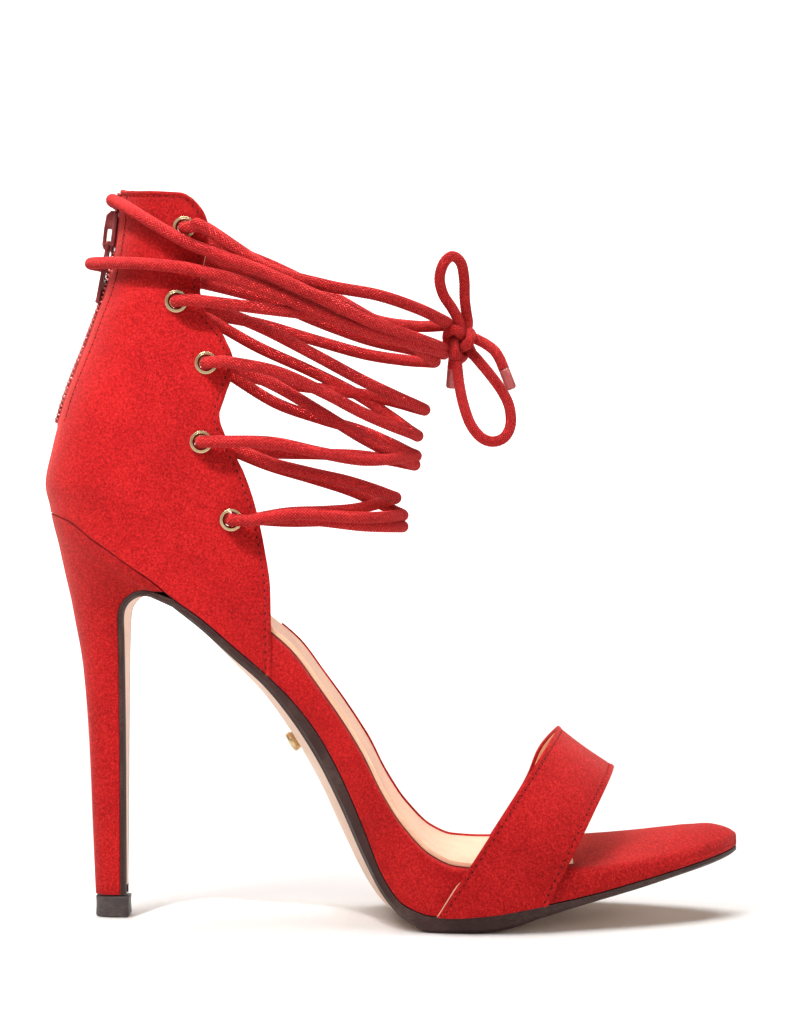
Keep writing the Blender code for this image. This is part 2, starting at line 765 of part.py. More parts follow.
def strap_point(across, angle):
    """Point on the toe strap's outer face, across 0 at its rear edge and 1 at its front edge."""
    power = 2.0 / STRAP_ROUNDNESS
    rise = math.sin(angle) ** power
    reach = abs(math.cos(angle)) ** power
    side = math.copysign(1.0, math.cos(angle))
    ridge = STRAP_REAR.ridge_z + (STRAP_FRONT.ridge_z - STRAP_REAR.ridge_z) * across

    def station(z, y):
        rear = STRAP_REAR.base_x + STRAP_REAR.lean * z + STRAP_SKEW * y
        front = STRAP_FRONT.base_x + STRAP_FRONT.lean * z + STRAP_SKEW * y
        return rear + (front - rear) * across

    edge_y = STRAP_EDGE_Y * side
    foot_x = station(STRAP_FOOT_Z, edge_y)
    foot = along(PROFILE, "x", "edge", foot_x) + GAP
    z = foot + (ridge - foot) * rise
    column = "inner" if side > 0.0 else "outer"
    edge = along(OUTLINE, "x", column, station(min(z, STRAP_BED_Z), edge_y))
    span = abs(edge - STRAP_APEX_Y) + GAP + STRAP_WALL + STRAP_SPARE
    y = STRAP_APEX_Y + side * span * reach
    return station(z, y), y, z


def toe_strap():
    steps, columns = 22, 4
    grid = [[strap_point(k / columns, math.pi * i / steps) for k in range(columns + 1)]
            for i in range(steps + 1)]
    mesh = mesh_of("toe_strap", sheet(grid))
    piece = add_object("toe_strap", mesh, SUEDE)
    face_outwards(mesh)
    thicken(piece, STRAP_WALL)
    return piece


# Back zip


def zip_tape():
    """Tape inside the upper with the row of teeth standing through the slot."""
    def ring(z):
        frame = zip_frame(z)
        bow = ZIP_TAPE ** 2 / (2 * ZIP_TAPE_BOW_RADIUS)
        behind = -WALL - ZIP_TAPE_GAP
        half = ((ZIP_TEETH_PROUD, 0.0), (ZIP_TEETH_PROUD, ZIP_TEETH), (behind, ZIP_TEETH),
                (behind - bow, ZIP_TAPE), (behind - bow - ZIP_TAPE_THICKNESS, ZIP_TAPE),
                (behind - ZIP_TAPE_THICKNESS, 0.0))
        outline = [(out, -y) for out, y in half] + [(out, y) for out, y in half[-2:0:-1]]
        return [frame @ Vector((out, y, 0.0)) for out, y in outline]

    low, high = ZIP_BOTTOM_Z + ZIP_ENDS[0], COLLAR_Z - ZIP_ENDS[1]
    heights = [low + (high - low) * k / ZIP_STEPS for k in range(ZIP_STEPS + 1)]
    bm = bmesh.new()
    loops = [[bm.verts.new(point) for point in ring(z)] for z in heights]
    count = len(loops[0])
    for lower, upper in zip(loops, loops[1:]):
        for i in range(count):
            j = (i + 1) % count
            bm.faces.new((lower[i], lower[j], upper[j], upper[i]))
    bm.faces.new(loops[0])
    bm.faces.new(loops[-1])
    return add_object("zip_tape", mesh_of("zip_tape", bm), ZIP_CLOTH)


def box(bm, low, high, bevel, matrix=Matrix.Identity(4)):
    """A box with bevelled edges between two corners."""
    size = Vector(high) - Vector(low)
    middle = (Vector(high) + Vector(low)) / 2
    made = bmesh.ops.create_cube(bm, size=1.0)
    bmesh.ops.scale(bm, vec=size, verts=made["verts"])
    bmesh.ops.translate(bm, vec=middle, verts=made["verts"])
    edges = list({edge for vert in made["verts"] for edge in vert.link_edges})
    result = bmesh.ops.bevel(bm, geom=edges, offset=bevel, segments=1, profile=0.5, affect="EDGES",
                             material=-1)
    verts = {vert for face in result["faces"] for vert in face.verts}
    bmesh.ops.transform(bm, matrix=matrix, verts=list(verts))


def zip_slider():
    """The slider's outer plate with its bridge, which leaves a window for the pull tab."""
    half = SLIDER_LENGTH / 2
    wide = SLIDER_WIDTH / 2
    inset = SLIDER_BRIDGE_INSET
    place = TO_PART @ zip_frame(SLIDER_Z)
    bm = bmesh.new()
    box(bm, (SLIDER_PLATE[0], -wide, -half), (SLIDER_PLATE[1], wide, half), SLIDER_PLATE_BEVEL)
    piece = add_object("zip_slider", mesh_of("zip_slider", bm, place), ZIP_METAL)
    bm = bmesh.new()
    bridge_half = SLIDER_BRIDGE_WIDTH / 2
    box(bm, (SLIDER_PLATE[1] - inset, -bridge_half, -half + inset),
        (SLIDER_BRIDGE[1], bridge_half, half - inset), SLIDER_BRIDGE_BEVEL)
    bridge = add_object("slider_bridge", mesh_of("slider_bridge", bm, place), ZIP_METAL)
    combine(piece, bridge, "UNION")
    bm = bmesh.new()
    box(bm, (SLIDER_PLATE[1], -SLIDER_BRIDGE_WIDTH, SLIDER_WINDOW[0]),
        (SLIDER_BRIDGE[0], SLIDER_BRIDGE_WIDTH, SLIDER_WINDOW[1]), SLIDER_WINDOW_BEVEL)
    window = add_object("slider_window", mesh_of("slider_window", bm, place), ZIP_METAL)
    combine(piece, window, "DIFFERENCE")
    return piece


def tab_pivot():
    return zip_frame(SLIDER_Z) @ Vector((TAB_PIVOT_OUT, 0.0, TAB_PIVOT_UP))


def pull_tab():
    """A flat tab whose eye rides on the slider's bridge; its origin is on the hinge axis."""
    half = TAB_THICKNESS / 2
    arm = SLIDER_BRIDGE_WIDTH / 2 + TAB_ARM_CLEARANCE
    shoulder = arm + TAB_SHOULDER
    tip_width, tip_rise = TAB_TIP
    points = ((half, shoulder), (-half, shoulder), (-TAB_WAIST_DOWN, shoulder),
              (-TAB_LENGTH + tip_rise, arm + TAB_FOOT), (-TAB_LENGTH, arm + tip_width))
    bm = bmesh.new()
    front = [bm.verts.new((half, y, z)) for z, y in points]
    front += [bm.verts.new((half, -y, z)) for z, y in reversed(points)]
    plate = bm.faces.new(front)
    pushed = bmesh.ops.extrude_face_region(bm, geom=[plate])
    moved = [item for item in pushed["geom"] if isinstance(item, bmesh.types.BMVert)]
    bmesh.ops.translate(bm, vec=(-TAB_THICKNESS, 0.0, 0.0), verts=moved)
    lean = Matrix.Rotation(math.radians(TAB_LEAN_DEG), 4, "Y")
    to_local = Matrix.Scale(MM, 4) @ lean
    piece = add_object("pull_tab", mesh_of("pull_tab", bm, to_local), ZIP_METAL)
    piece.location = TO_PART @ tab_pivot()
    bm = bmesh.new()
    box(bm, (-TAB_THICKNESS, -arm, -TAB_EYE_DOWN), (TAB_THICKNESS, arm, -half), SLIDER_WINDOW_BEVEL)
    eye = add_object("tab_eye", mesh_of("tab_eye", bm, to_local), ZIP_METAL)
    eye.location = piece.location
    combine(piece, eye, "DIFFERENCE")
    return piece


# Trim under the arch


def arch_stud():
    """A plain round stud on the waist of the sole."""
    middle = (along(OUTLINE, "x", "outer", STUD_X) + along(OUTLINE, "x", "inner", STUD_X)) / 2

    def under(x):
        return along(UNDER, "x", "under", x) - along(UNDER, "x", "belly", x)

    reach = STUD_RADIUS / 2
    slope = math.atan2(under(STUD_X + reach) - under(STUD_X - reach), 2 * reach)
    down = Vector((math.sin(slope), 0.0, -math.cos(slope)))
    seat = Vector((STUD_X, middle, under(STUD_X))) + down * (STUD_GAP + STUD_HEIGHT / 2)
    place = Matrix.Translation(seat) @ down.to_track_quat("Z", "Y").to_matrix().to_4x4()
    bm = bmesh.new()
    bmesh.ops.create_cone(bm, cap_ends=True, segments=16, radius1=STUD_RADIUS,
                          radius2=STUD_RADIUS * STUD_TAPER, depth=STUD_HEIGHT, matrix=place)
    return add_object("arch_stud", mesh_of("arch_stud", bm), GOLD)


# Lace


def smooth_route(points, steps):
    """Points on a smooth curve through a route's own points."""
    knots = [Vector(point) for point in points]
    knots = [2 * knots[0] - knots[1], *knots, 2 * knots[-1] - knots[-2]]
    route = []
    for a, b, c, d in zip(knots, knots[1:], knots[2:], knots[3:]):
        for k in range(steps):
            t = k / steps
            route.append(0.5 * (2 * b + (c - a) * t + (2 * a - 5 * b + 4 * c - d) * t ** 2
                                + (3 * b - a - 3 * c + d) * t ** 3))
    route.append(knots[-2])
    return route


def tube(name, points, radius, finish, resolution):
    """A round cord along points, with filled ends."""
    curve = bpy.data.curves.new(name, "CURVE")
    curve.dimensions = "3D"
    curve.bevel_depth = radius * MM
    curve.bevel_resolution = resolution
    curve.use_fill_caps = True
    spline = curve.splines.new("POLY")
    spline.points.add(len(points) - 1)
    for target, point in zip(spline.points, points):
        target.co = (*(TO_PART @ Vector(point)), 1.0)
    return add_object(name, curve, finish)


def tube_mesh(name, points, radius, finish):
    """The same cord as a mesh, for joining to others."""
    curve = tube(name + "_line", points, radius, finish, LACE_SIDES)
    mesh = bpy.data.meshes.new_from_object(curve)
    bpy.data.objects.remove(curve)
    bm = bmesh.new()
    bm.from_mesh(mesh)
    bmesh.ops.remove_doubles(bm, verts=bm.verts, dist=1e-6)
    bmesh.ops.recalc_face_normals(bm, faces=bm.faces)
    bm.to_mesh(mesh)
    bm.free()
    return add_object(name, mesh, finish)


def strand_half(number, face, side, turn_x, turn_z):
    """Points from an eyelet to just before the strand's turn at the front."""
    frame = eyelet_frame(number, side)
    leaves = LACE_LEAVES_OUT if face == "out" else LACE_LEAVES_IN
    points = [frame @ Vector((0.0, 0.0, out)) for out in leaves[:2]]
    points.append(frame @ Vector((LACE_RUN_OUT, 0.0, leaves[2])))
    lead = frame @ Vector((LACE_LEAD, 0.0, leaves[2]))
    for k in range(LACE_STEPS):
        angle = math.pi / 2 * (1 - k / LACE_STEPS)
        share = 1 - math.cos(angle)
        y = math.sin(angle) * (LACE_MIDDLE_Y + (abs(lead.y) - LACE_MIDDLE_Y) * share ** 2) * side
        points.append(Vector((turn_x + (lead.x - turn_x) * share, y, turn_z + (lead.z - turn_z) * share)))
    return points


def strand_points(strand):
    turn = Vector((strand.turn_x, 0.0, strand.turn_z))
    outer = strand_half(strand.outer_eyelet, strand.outer_face, -1.0, strand.turn_x, strand.turn_z)
    inner = strand_half(strand.inner_eyelet, strand.inner_face, 1.0, strand.turn_x, strand.turn_z)
    return outer + [turn] + inner[::-1]


def wrap_half(wrap):
    """Points of a turn round the ankle, from the centre back to the front, on the inner side."""
    points = []
    for k in range(WRAP_STEPS):
        share = k / WRAP_STEPS
        z = along(wrap.rows, "x", "z", WRAP_BACK_X + (WRAP_LEAVES_X - WRAP_BACK_X) * share ** 2)
        xs, ys = counter_plan(z, -WRAP_CLEAR - WRAP_OVER_EYELET * share ** 2)
        arc = np.concatenate(([0.0], np.cumsum(np.hypot(np.diff(xs), np.diff(ys)))))
        at = np.interp(WRAP_LEAVES_X, xs, arc) * share
        x, y = float(np.interp(at, arc, xs)), float(np.interp(at, arc, ys))
        x -= wrap.stand_off * math.exp(-(y / WRAP_BULGE_Y) ** 2)
        points.append(Vector((x, y, along(wrap.rows, "x", "z", x))))
    z = along(wrap.rows, "x", "z", WRAP_LEAVES_X)
    leave_y = counter_half_width(WRAP_LEAVES_X, z, -WRAP_CLEAR - WRAP_OVER_EYELET)
    for k in range(LACE_STEPS + 1):
        angle = math.pi / 2 * (1 - 0.95 * k / LACE_STEPS)
        x = WRAP_FRONT_X + (WRAP_LEAVES_X - WRAP_FRONT_X) * (1 - math.cos(angle))
        points.append(Vector((x, leave_y * math.sin(angle), along(wrap.rows, "x", "z", x))))
    return points


def wrap_points(wrap):
    half = wrap_half(wrap)
    mirrored = [Vector((point.x, -point.y, point.z)) for point in half[:0:-1]]
    return mirrored + half


def lace_levels():
    """Each level of strands, joined into one solid where they touch and cross."""
    for name, strands in LACE_LEVELS.items():
        routes = [strand_points(strand) for strand in strands]
        if name == "lace_crossing_top":
            routes += [wrap_points(wrap) for wrap in WRAPS]
        piece = tube_mesh(name, routes[0], LACE_RADIUS, LACE)
        for number, route in enumerate(routes[1:], start=1):
            combine(piece, tube_mesh(f"{name}_{number}", route, LACE_RADIUS, LACE), "UNION")


def lace_bow():
    """Knot, two loops and two ends with their clear tips."""
    bm = bmesh.new()
    bmesh.ops.create_icosphere(bm, subdivisions=2, radius=1.0)
    bmesh.ops.scale(bm, vec=KNOT_SIZE, verts=bm.verts)
    bmesh.ops.translate(bm, vec=KNOT_CENTRE, verts=bm.verts)
    add_object("lace_knot", mesh_of("lace_knot", bm), LACE)
    tube("lace_loop_upper", smooth_route(LOOP_UPPER, 2), LACE_RADIUS, LACE, CORD_SIDES)
    tube("lace_loop_lower", smooth_route(LOOP_LOWER, 2), LACE_RADIUS, LACE, CORD_SIDES)
    tube("lace_end_outer", smooth_route(END_OUTER, 2), LACE_RADIUS, LACE, CORD_SIDES)
    tube("lace_end_inner", smooth_route(END_INNER, 2), LACE_RADIUS, LACE, CORD_SIDES)
    tube("aglet_outer", AGLET_OUTER, AGLET_RADIUS, CLEAR_TIP, CORD_SIDES)
    tube("aglet_inner", AGLET_INNER, AGLET_RADIUS, CLEAR_TIP, CORD_SIDES)


def clear_scene():
    for item in list(bpy.data.objects):
        bpy.data.objects.remove(item, do_unlink=True)


def main():
    global SHOE
    clear_scene()
    SHOE = bpy.data.objects.new("shoe", None)
    bpy.context.scene.collection.objects.link(SHOE)
    outsole()
    heel()
    top_lift()
    footbed()
    insole()
    counter()
    toe_strap()
    eyelets()
    zip_tape()
    zip_slider()
    pull_tab()
    arch_stud()
    lace_levels()
    lace_bow()


main()
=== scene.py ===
"""Looks of the open-toe lace-up stiletto sandal: suede, lining, sole, zip, eyelets and lace.

Sizes are in millimetres in the shoe's drawing: X from heel to toe, Y from the outer to the inner side
of the foot, Z up from the floor. TO_PART turns them into the part's metres.
"""

import functools
import math
from collections import namedtuple

import bmesh
import bpy
import numpy as np
from mathutils import Matrix, Vector


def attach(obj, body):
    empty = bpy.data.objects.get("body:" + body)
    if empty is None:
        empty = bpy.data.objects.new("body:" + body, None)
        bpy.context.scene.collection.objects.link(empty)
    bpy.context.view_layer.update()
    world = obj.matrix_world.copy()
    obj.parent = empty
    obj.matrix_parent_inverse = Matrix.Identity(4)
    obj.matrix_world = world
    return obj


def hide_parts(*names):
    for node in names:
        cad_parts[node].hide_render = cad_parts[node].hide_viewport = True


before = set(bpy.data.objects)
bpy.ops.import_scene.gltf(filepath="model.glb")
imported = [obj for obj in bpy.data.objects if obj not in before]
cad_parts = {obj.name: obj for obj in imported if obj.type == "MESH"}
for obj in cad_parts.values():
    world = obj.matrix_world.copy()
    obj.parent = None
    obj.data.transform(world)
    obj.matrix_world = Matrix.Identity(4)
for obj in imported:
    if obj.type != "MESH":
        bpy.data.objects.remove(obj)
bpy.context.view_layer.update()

# Driving dimensions, in millimetres, by part of the shoe
FOOTPRINT_MIDDLE = (-2.463, -1.009)
GAP = 0.35

# Closed back
WALL = 2.0
SUEDE_WALL = 1.35
LINING_WALL = 0.6
COLLAR_Z = 217.5
BED_STEP_X = -37.4
INNER_SET_BACK = 3.5

# Flap of the sole and heel
SEAT_FRONT_X = -66.5
FLAP_THICKNESS = 1.7
FLAP_INSET = 0.2
BREAST_CENTRE = (-74.7, 89.4)
BREAST_RADIUS = 7.0
HEEL_TOP_BACK_Z = 120.7
HEEL_TOP_HALF_WIDTH = 26.4
HEEL_TOP_ROUND = 29.4
HEEL_TOP_FRONT_X = -69.0
LIFT_HEIGHT = 6.3
LIFT_BACK_X = -91.2
LIFT_FRONT_X = -80.9
LIFT_HALF_WIDTH = 4.9
LIFT_ROUND = 6.8

# Footbed and insole
RIM_SHARE = 0.93
RIM_ROUND = 1.8
TOE_ROUND = 2.4
TOE_CROWN = 1.0
TOE_TIP = 1.5
TOE_FROM = (46.0, 58.0)
TOE_TO = (93.0, 103.0)
INNER_LIP = 2.3
INNER_LIP_SHARE = (0.925, 0.97)
INNER_LIP_END = (36.0, 46.0)
INSOLE_THICKNESS = 1.2
INSOLE_FRONT_X = 50.0

# Toe strap
STRAP_WALL = 1.6
STRAP_APEX_Y = 3.0
STRAP_ROUNDNESS = 2.5
STRAP_SPARE = 0.55
STRAP_SKEW = 0.085
STRAP_BED_Z = 18.8
STRAP_EDGE_Y = 38.0
STRAP_FOOT_Z = 6.0

# Eyelets and zip
EYELET_HOLE = 2.1
ZIP_BOTTOM_Z = 147.0
ZIP_SLOT = 2.6
ZIP_TEETH = 2.1
ZIP_TAPE = 7.0
ZIP_TAPE_THICKNESS = 0.8
ZIP_TAPE_BOW_RADIUS = 25.0
ZIP_TAPE_GAP = 0.45
ZIP_REACH = 4.0
SLIDER_Z = 205.0
SLIDER_LENGTH = 12.4
SLIDER_WIDTH = 6.0
SLIDER_PLATE = (0.9, 1.8)
TAB_PIVOT_OUT = 2.6
TAB_PIVOT_UP = -3.6
TAB_LENGTH = 18.4
TAB_THICKNESS = 1.1
TAB_LEAN_DEG = 10.2

# Stud
STUD_X = -31.0
STUD_RADIUS = 3.1

# Lace
LACE_LEAD = 6.0
LACE_MIDDLE_Y = 27.0
LACE_STEPS = 6
WRAP_CLEAR = 2.35
WRAP_OVER_EYELET = 1.4
WRAP_BACK_X = -86.0
WRAP_LEAVES_X = -60.0
WRAP_FRONT_X = 13.6
WRAP_BULGE_Y = 9.0
WRAP_STEPS = 7
KNOT_CENTRE = (18.6, 0.0, 173.3)
AGLET_RADIUS = 1.6

# From the drawing to the part
MM = 0.001
MERGE_DISTANCE = 1e-4
TO_PART = Matrix.Scale(MM, 4) @ Matrix.Translation((-FOOTPRINT_MIDDLE[0], -FOOTPRINT_MIDDLE[1], 0.0))


def table(columns, *rows):
    """Rows of values under named columns."""
    row = namedtuple("Row", columns)
    return tuple(row(*values) for values in rows)


# Side profile of the sole: edge is the upper edge of the outsole, bed the rim of the footbed's top,
# dome how far the top rises in the middle (a cup where it is negative)
PROFILE = table(
    "x edge bed dome",
    (-105.0, 121.0, 127.0, -1.2),
    (-97.3, 118.1, 124.2, -1.2),
    (-90.7, 113.2, 120.6, -1.2),
    (-84.6, 109.1, 117.2, -1.2),
    (-78.7, 104.8, 113.8, -1.2),
    (-72.9, 101.0, 110.6, -1.2),
    (-66.5, 95.7, 107.0, -1.0),
    (-58.0, 89.6, 101.0, -0.8),
    (-49.0, 81.8, 94.6, -0.6),
    (-40.0, 74.1, 87.6, -0.5),
    (-32.0, 66.2, 80.6, -0.4),
    (-24.0, 55.9, 70.0, -0.2),
    (-17.0, 43.2, 60.1, 0.0),
    (-11.0, 29.6, 50.4, 0.0),
    (-5.0, 15.2, 38.8, 0.0),
    (1.0, 7.6, 29.8, 0.0),
    (9.0, 4.8, 22.0, 0.0),
    (16.0, 4.4, 19.0, 0.2),
    (26.0, 5.1, 18.2, 0.5),
    (40.0, 7.5, 18.4, 1.0),
    (55.0, 10.2, 19.3, 1.6),
    (70.0, 13.5, 20.7, 2.2),
    (83.0, 16.4, 22.4, 2.4),
    (91.0, 18.2, 23.6, 2.0),
    (96.0, 19.3, 24.2, 1.4),
    (99.4, 20.1, 24.5, 0.7),
    (101.1, 20.7, 24.3, 0.0),
)

# Under side of the outsole: under is its lower edge, belly how far the middle hangs below that edge
UNDER = table(
    "x under belly",
    (-66.5, 93.4, 0.5),
    (-58.0, 86.8, 1.7),
    (-49.0, 78.8, 3.2),
    (-40.0, 71.0, 5.0),
    (-32.0, 61.5, 6.9),
    (-24.0, 49.3, 8.6),
    (-17.0, 35.5, 9.9),
    (-11.0, 21.9, 8.2),
    (-5.0, 10.4, 5.0),
    (1.0, 3.7, 1.7),
    (9.0, 0.0, 0.0),
    (20.0, 0.0, 0.0),
    (28.0, 0.7, 0.0),
    (34.0, 2.0, 0.0),
    (40.0, 4.0, 0.0),
    (55.0, 8.0, 0.0),
    (70.0, 11.5, 0.0),
    (83.0, 14.7, 0.0),
    (91.0, 16.5, 0.0),
    (96.0, 17.7, 0.0),
    (99.4, 18.6, 0.0),
    (101.1, 19.3, 0.0),
)

# Plan outline of the sole in front of the seat: the Y of its outer and inner edges
OUTLINE = table(
    "x outer inner",
    (-66.5, -26.0, 26.0),
    (-58.0, -25.7, 25.5),
    (-49.0, -25.1, 24.7),
    (-40.0, -24.5, 23.7),
    (-32.0, -24.5, 22.8),
    (-24.0, -25.3, 22.2),
    (-17.0, -27.0, 22.5),
    (-11.0, -29.4, 23.8),
    (-5.0, -32.4, 26.2),
    (1.0, -35.3, 29.3),
    (8.0, -38.0, 33.0),
    (16.0, -39.6, 36.0),
    (26.0, -40.0, 38.0),
    (40.0, -38.0, 37.6),
    (55.0, -33.6, 34.6),
    (70.0, -27.2, 29.8),
    (83.0, -19.6, 23.8),
    (91.0, -13.0, 19.0),
    (96.0, -7.2, 14.6),
    (99.4, -1.6, 10.4),
    (101.1, 2.0, 7.0),
)

# Heel sections from under the seat to the top lift: back point, front point as a turn round the
# breast's curve and a drop below its centre, half width and the length of the rounded back
HEEL = table(
    "back_x back_z turn drop half_width round",
    (-103.6, 116.5, 75, 0.0, 24.6, 28.0),
    (-102.4, 112.0, 95, 0.0, 22.6, 25.0),
    (-101.3, 107.0, 115, 0.0, 20.4, 21.0),
    (-100.2, 102.0, 135, 0.0, 18.2, 18.0),
    (-98.8, 96.0, 158, 0.0, 15.8, 15.0),
    (-97.2, 87.5, 180, 2.4, 13.2, 12.5),
    (-95.2, 76.0, 180, 13.9, 10.4, 10.5),
    (-93.2, 52.0, 180, 37.4, 7.2, 8.5),
    (-92.2, 28.0, 180, 61.4, 5.7, 7.6),
    (-91.3, 6.7, 180, 82.7, 4.8, 6.8),
)

# The closed back: centre-back line, half width, length of the rounded back and how far the front
# edges tuck in, by height
COUNTER = table(
    "z back half_width round tuck",
    (70.0, -104.4, 26.3, 30.0, 1.8),
    (100.0, -104.4, 26.3, 30.0, 1.4),
    (120.7, -104.6, 26.6, 29.0, 0.8),
    (129.2, -106.2, 27.0, 28.0, 0.5),
    (140.0, -104.2, 27.0, 27.0, 0.3),
    (154.7, -100.2, 26.6, 26.0, 0.2),
    (172.7, -93.3, 25.8, 25.0, 0.2),
    (190.7, -87.0, 25.4, 24.0, 0.4),
    (203.0, -84.6, 25.8, 23.5, 0.5),
    (217.7, -83.2, 26.6, 23.0, 0.5),
)

# Scalloped front edge of the closed back
FRONT_EDGE = table(
    "z x",
    (72.0, -37.5),
    (98.0, -37.8),
    (110.0, -39.4),
    (123.0, -42.2),
    (133.3, -45.7),
    (140.6, -49.5),
    (149.4, -52.5),
    (157.0, -50.4),
    (164.0, -48.3),
    (172.5, -51.3),
    (180.0, -56.8),
    (187.0, -58.3),
    (195.0, -57.0),
    (203.0, -55.5),
    (208.0, -56.8),
    (212.0, -59.8),
    (215.3, -65.5),
    (217.5, -71.0),
)

# Collar of the closed back: how far it dips below its height at the zip, by distance round from there
COLLAR = table(
    "arc dip",
    (0.0, 0.0),
    (6.0, 0.3),
    (14.0, 1.3),
    (22.0, 2.1),
    (28.0, 2.5),
    (36.0, 3.3),
)

# Eyelets of one side, from the top down
EYELETS = table(
    "x z",
    (-62.9, 204.0),
    (-65.2, 182.5),
    (-56.5, 164.5),
    (-57.9, 141.5),
    (-49.2, 118.8),
)

# Toe strap between its rear and front edges: base X and rise in X per unit of height, and its
# height at the ridge
STRAP_REAR, STRAP_FRONT = table(
    "base_x lean ridge_z",
    (11.0, 0.644, 56.5),
    (41.8, 0.507, 44.2),
)

# Lace strands from an eyelet on the outer side, round the front, to one on the inner side. A face is
# "out" where the strand leaves the eyelet on the outside of the upper and "in" on its inside. Between
# eyelet and turn a strand rises by bow, winds by sway and stands out by proud
STRAND = "outer_eyelet outer_face inner_eyelet inner_face turn_x turn_z bow sway proud"
LACE_LEVELS = {
    "lace_crossing_bottom": table(
        STRAND,
        (4, "in", 4, "in", 0.8, 116.7, 0.5, -0.6, -1.4),
        (4, "out", 3, "in", 0.8, 120.1, 0.7, -0.9, 1.2),
        (3, "in", 4, "out", -1.3, 125.3, -0.8, 0.9, -0.6),
    ),
    "lace_crossing_lower": table(
        STRAND,
        (3, "out", 2, "in", 4.8, 137.9, -1.3, -1.6, 1.5),
        (2, "in", 3, "out", 4.4, 135.2, 0.5, -0.9, -1.5),
    ),
    "lace_crossing_upper": table(
        STRAND,
        (2, "out", 1, "in", 5.3, 143.9, 1.8, -1.3, 1.5),
        (1, "in", 2, "out", 7.4, 151.7, 0.6, -0.9, -1.4),
    ),
    "lace_crossing_top": table(
        STRAND,
        (1, "out", 0, "in", 11.4, 168.6, 2.8, 0.6, 0.6),
        (0, "in", 1, "out", 10.5, 166.2, -0.6, 1.2, -2.2),
        (0, "out", 0, "out", 14.4, 177.4, -3.5, 2.4, 1.8),
    ),
}

# Turns of the lace round the back of the ankle: height along X, how far the lace stands off the zip at
# the centre back, and how far it stands out over the other strands
WRAPS = table(
    "rows stand_off proud",
    (table("x z", (-86.0, 214.3), (-61.0, 199.0), (-34.0, 188.6), (-11.5, 177.8), (13.0, 169.8)), 0.5, 3.6),
    (table("x z", (-92.0, 195.5), (-58.0, 191.2), (-31.6, 183.0), (-20.0, 177.3), (-6.0, 173.0),
           (13.0, 168.6)), 4.4, 1.4),
)

# Free stretches of the lace, each a route of given points
LOOP_UPPER = (
    (17.4, -1.4, 178.6),
    (15.6, -2.6, 182.0),
    (12.9, -4.4, 186.0),
    (11.8, -6.0, 190.6),
    (13.0, -7.2, 195.0),
    (15.6, -7.2, 197.2),
    (18.2, -5.8, 195.2),
    (19.2, -3.4, 190.4),
    (19.4, -0.6, 185.0),
    (20.0, 1.6, 180.6),
    (20.4, 1.9, 178.2),
)
LOOP_LOWER = (
    (17.0, -1.0, 167.9),
    (17.1, -2.6, 165.0),
    (17.7, -4.6, 159.2),
    (18.9, -6.2, 153.2),
    (21.0, -7.2, 147.2),
    (24.2, -7.6, 143.2),
    (27.8, -7.4, 142.0),
    (31.2, -6.6, 143.4),
    (33.0, -5.6, 147.2),
    (32.6, -4.4, 152.6),
    (30.4, -3.0, 157.4),
    (27.0, -1.4, 162.2),
    (22.8, 0.6, 167.4),
    (21.7, 1.2, 168.6),
)
END_OUTER = (
    (23.4, -1.6, 172.6),
    (25.8, -3.0, 171.2),
    (28.2, -4.4, 169.2),
    (29.8, -5.4, 166.6),
    (30.9, -6.0, 163.8),
)
AGLET_OUTER = ((31.05, -6.1, 163.4), (33.3, -6.9, 157.6))
END_INNER = (
    (19.0, 5.8, 174.6),
    (18.4, 8.6, 174.2),
    (17.2, 11.2, 171.6),
    (16.4, 12.4, 168.2),
    (16.0, 12.9, 165.0),
)
AGLET_INNER = ((15.95, 12.95, 164.6), (15.5, 13.4, 158.6))

# A turned edge: its fold stands proud up to the stitch line, which pulls the suede in
STITCH_IN = 1.6
ZIP_STITCH_IN = 10.4
STITCH_PITCH = 2.25
STITCH_SIZE = (1.50, 0.50, 0.44)
# Size of the dark blob painted as shade in each needle hole
STITCH_HOLE_SHADE = (1.20, 0.82, 0.40)
FOLD_RISE = 0.28
FOLD_PULL = 0.26
FOLD_PULL_WIDTH = 0.5
EDGE_STEPS = (0.0, 0.3, 0.65, 1.0, 1.35, 1.7, 2.05, 2.4, 2.8, 3.4, 4.4)

# Soft creases, as troughs (negative depth) and ridges: on the outer side of the closed back, and on the
# toe of the footbed, where z counts along Y
CREASE = "x z length width lean_deg depth"
CREASES = table(
    CREASE,
    (-77.0, 209.5, 7.0, 1.7, -8, 0.40),
    (-74.0, 206.0, 8.0, 1.6, -14, -0.45),
    (-77.5, 187.0, 6.0, 1.8, 12, -0.40),
    (-80.0, 181.0, 8.0, 2.0, 20, 0.38),
    (-76.0, 174.5, 9.0, 2.2, 28, -0.36),
    (-84.0, 160.0, 9.0, 3.0, 40, 0.35),
    (-70.0, 128.0, 16.0, 6.0, -30, -0.35),
    (-55.0, 104.0, 14.0, 5.0, -52, 0.30),
)
TOE_CREASES = table(
    CREASE,
    (88.0, 6.0, 6.0, 1.2, 80, -0.30),
    (84.0, 2.0, 8.0, 1.3, 84, 0.26),
    (80.0, -2.0, 7.0, 1.2, 78, -0.24),
    (76.0, 7.0, 8.0, 1.6, 86, 0.22),
)


@functools.cache
def table_curve(rows, key, value):
    """Stations, values and slopes of one column of a table."""
    xs = np.array([getattr(row, key) for row in rows])
    ys = np.array([getattr(row, value) for row in rows])
    secants = np.diff(ys) / np.diff(xs)
    product = np.maximum(secants[:-1] * secants[1:], 0.0)
    total = np.where(product > 0.0, secants[:-1] + secants[1:], 1.0)
    slopes = np.concatenate(([secants[0]], 2.0 * product / total, [secants[-1]]))
    return xs, ys, slopes


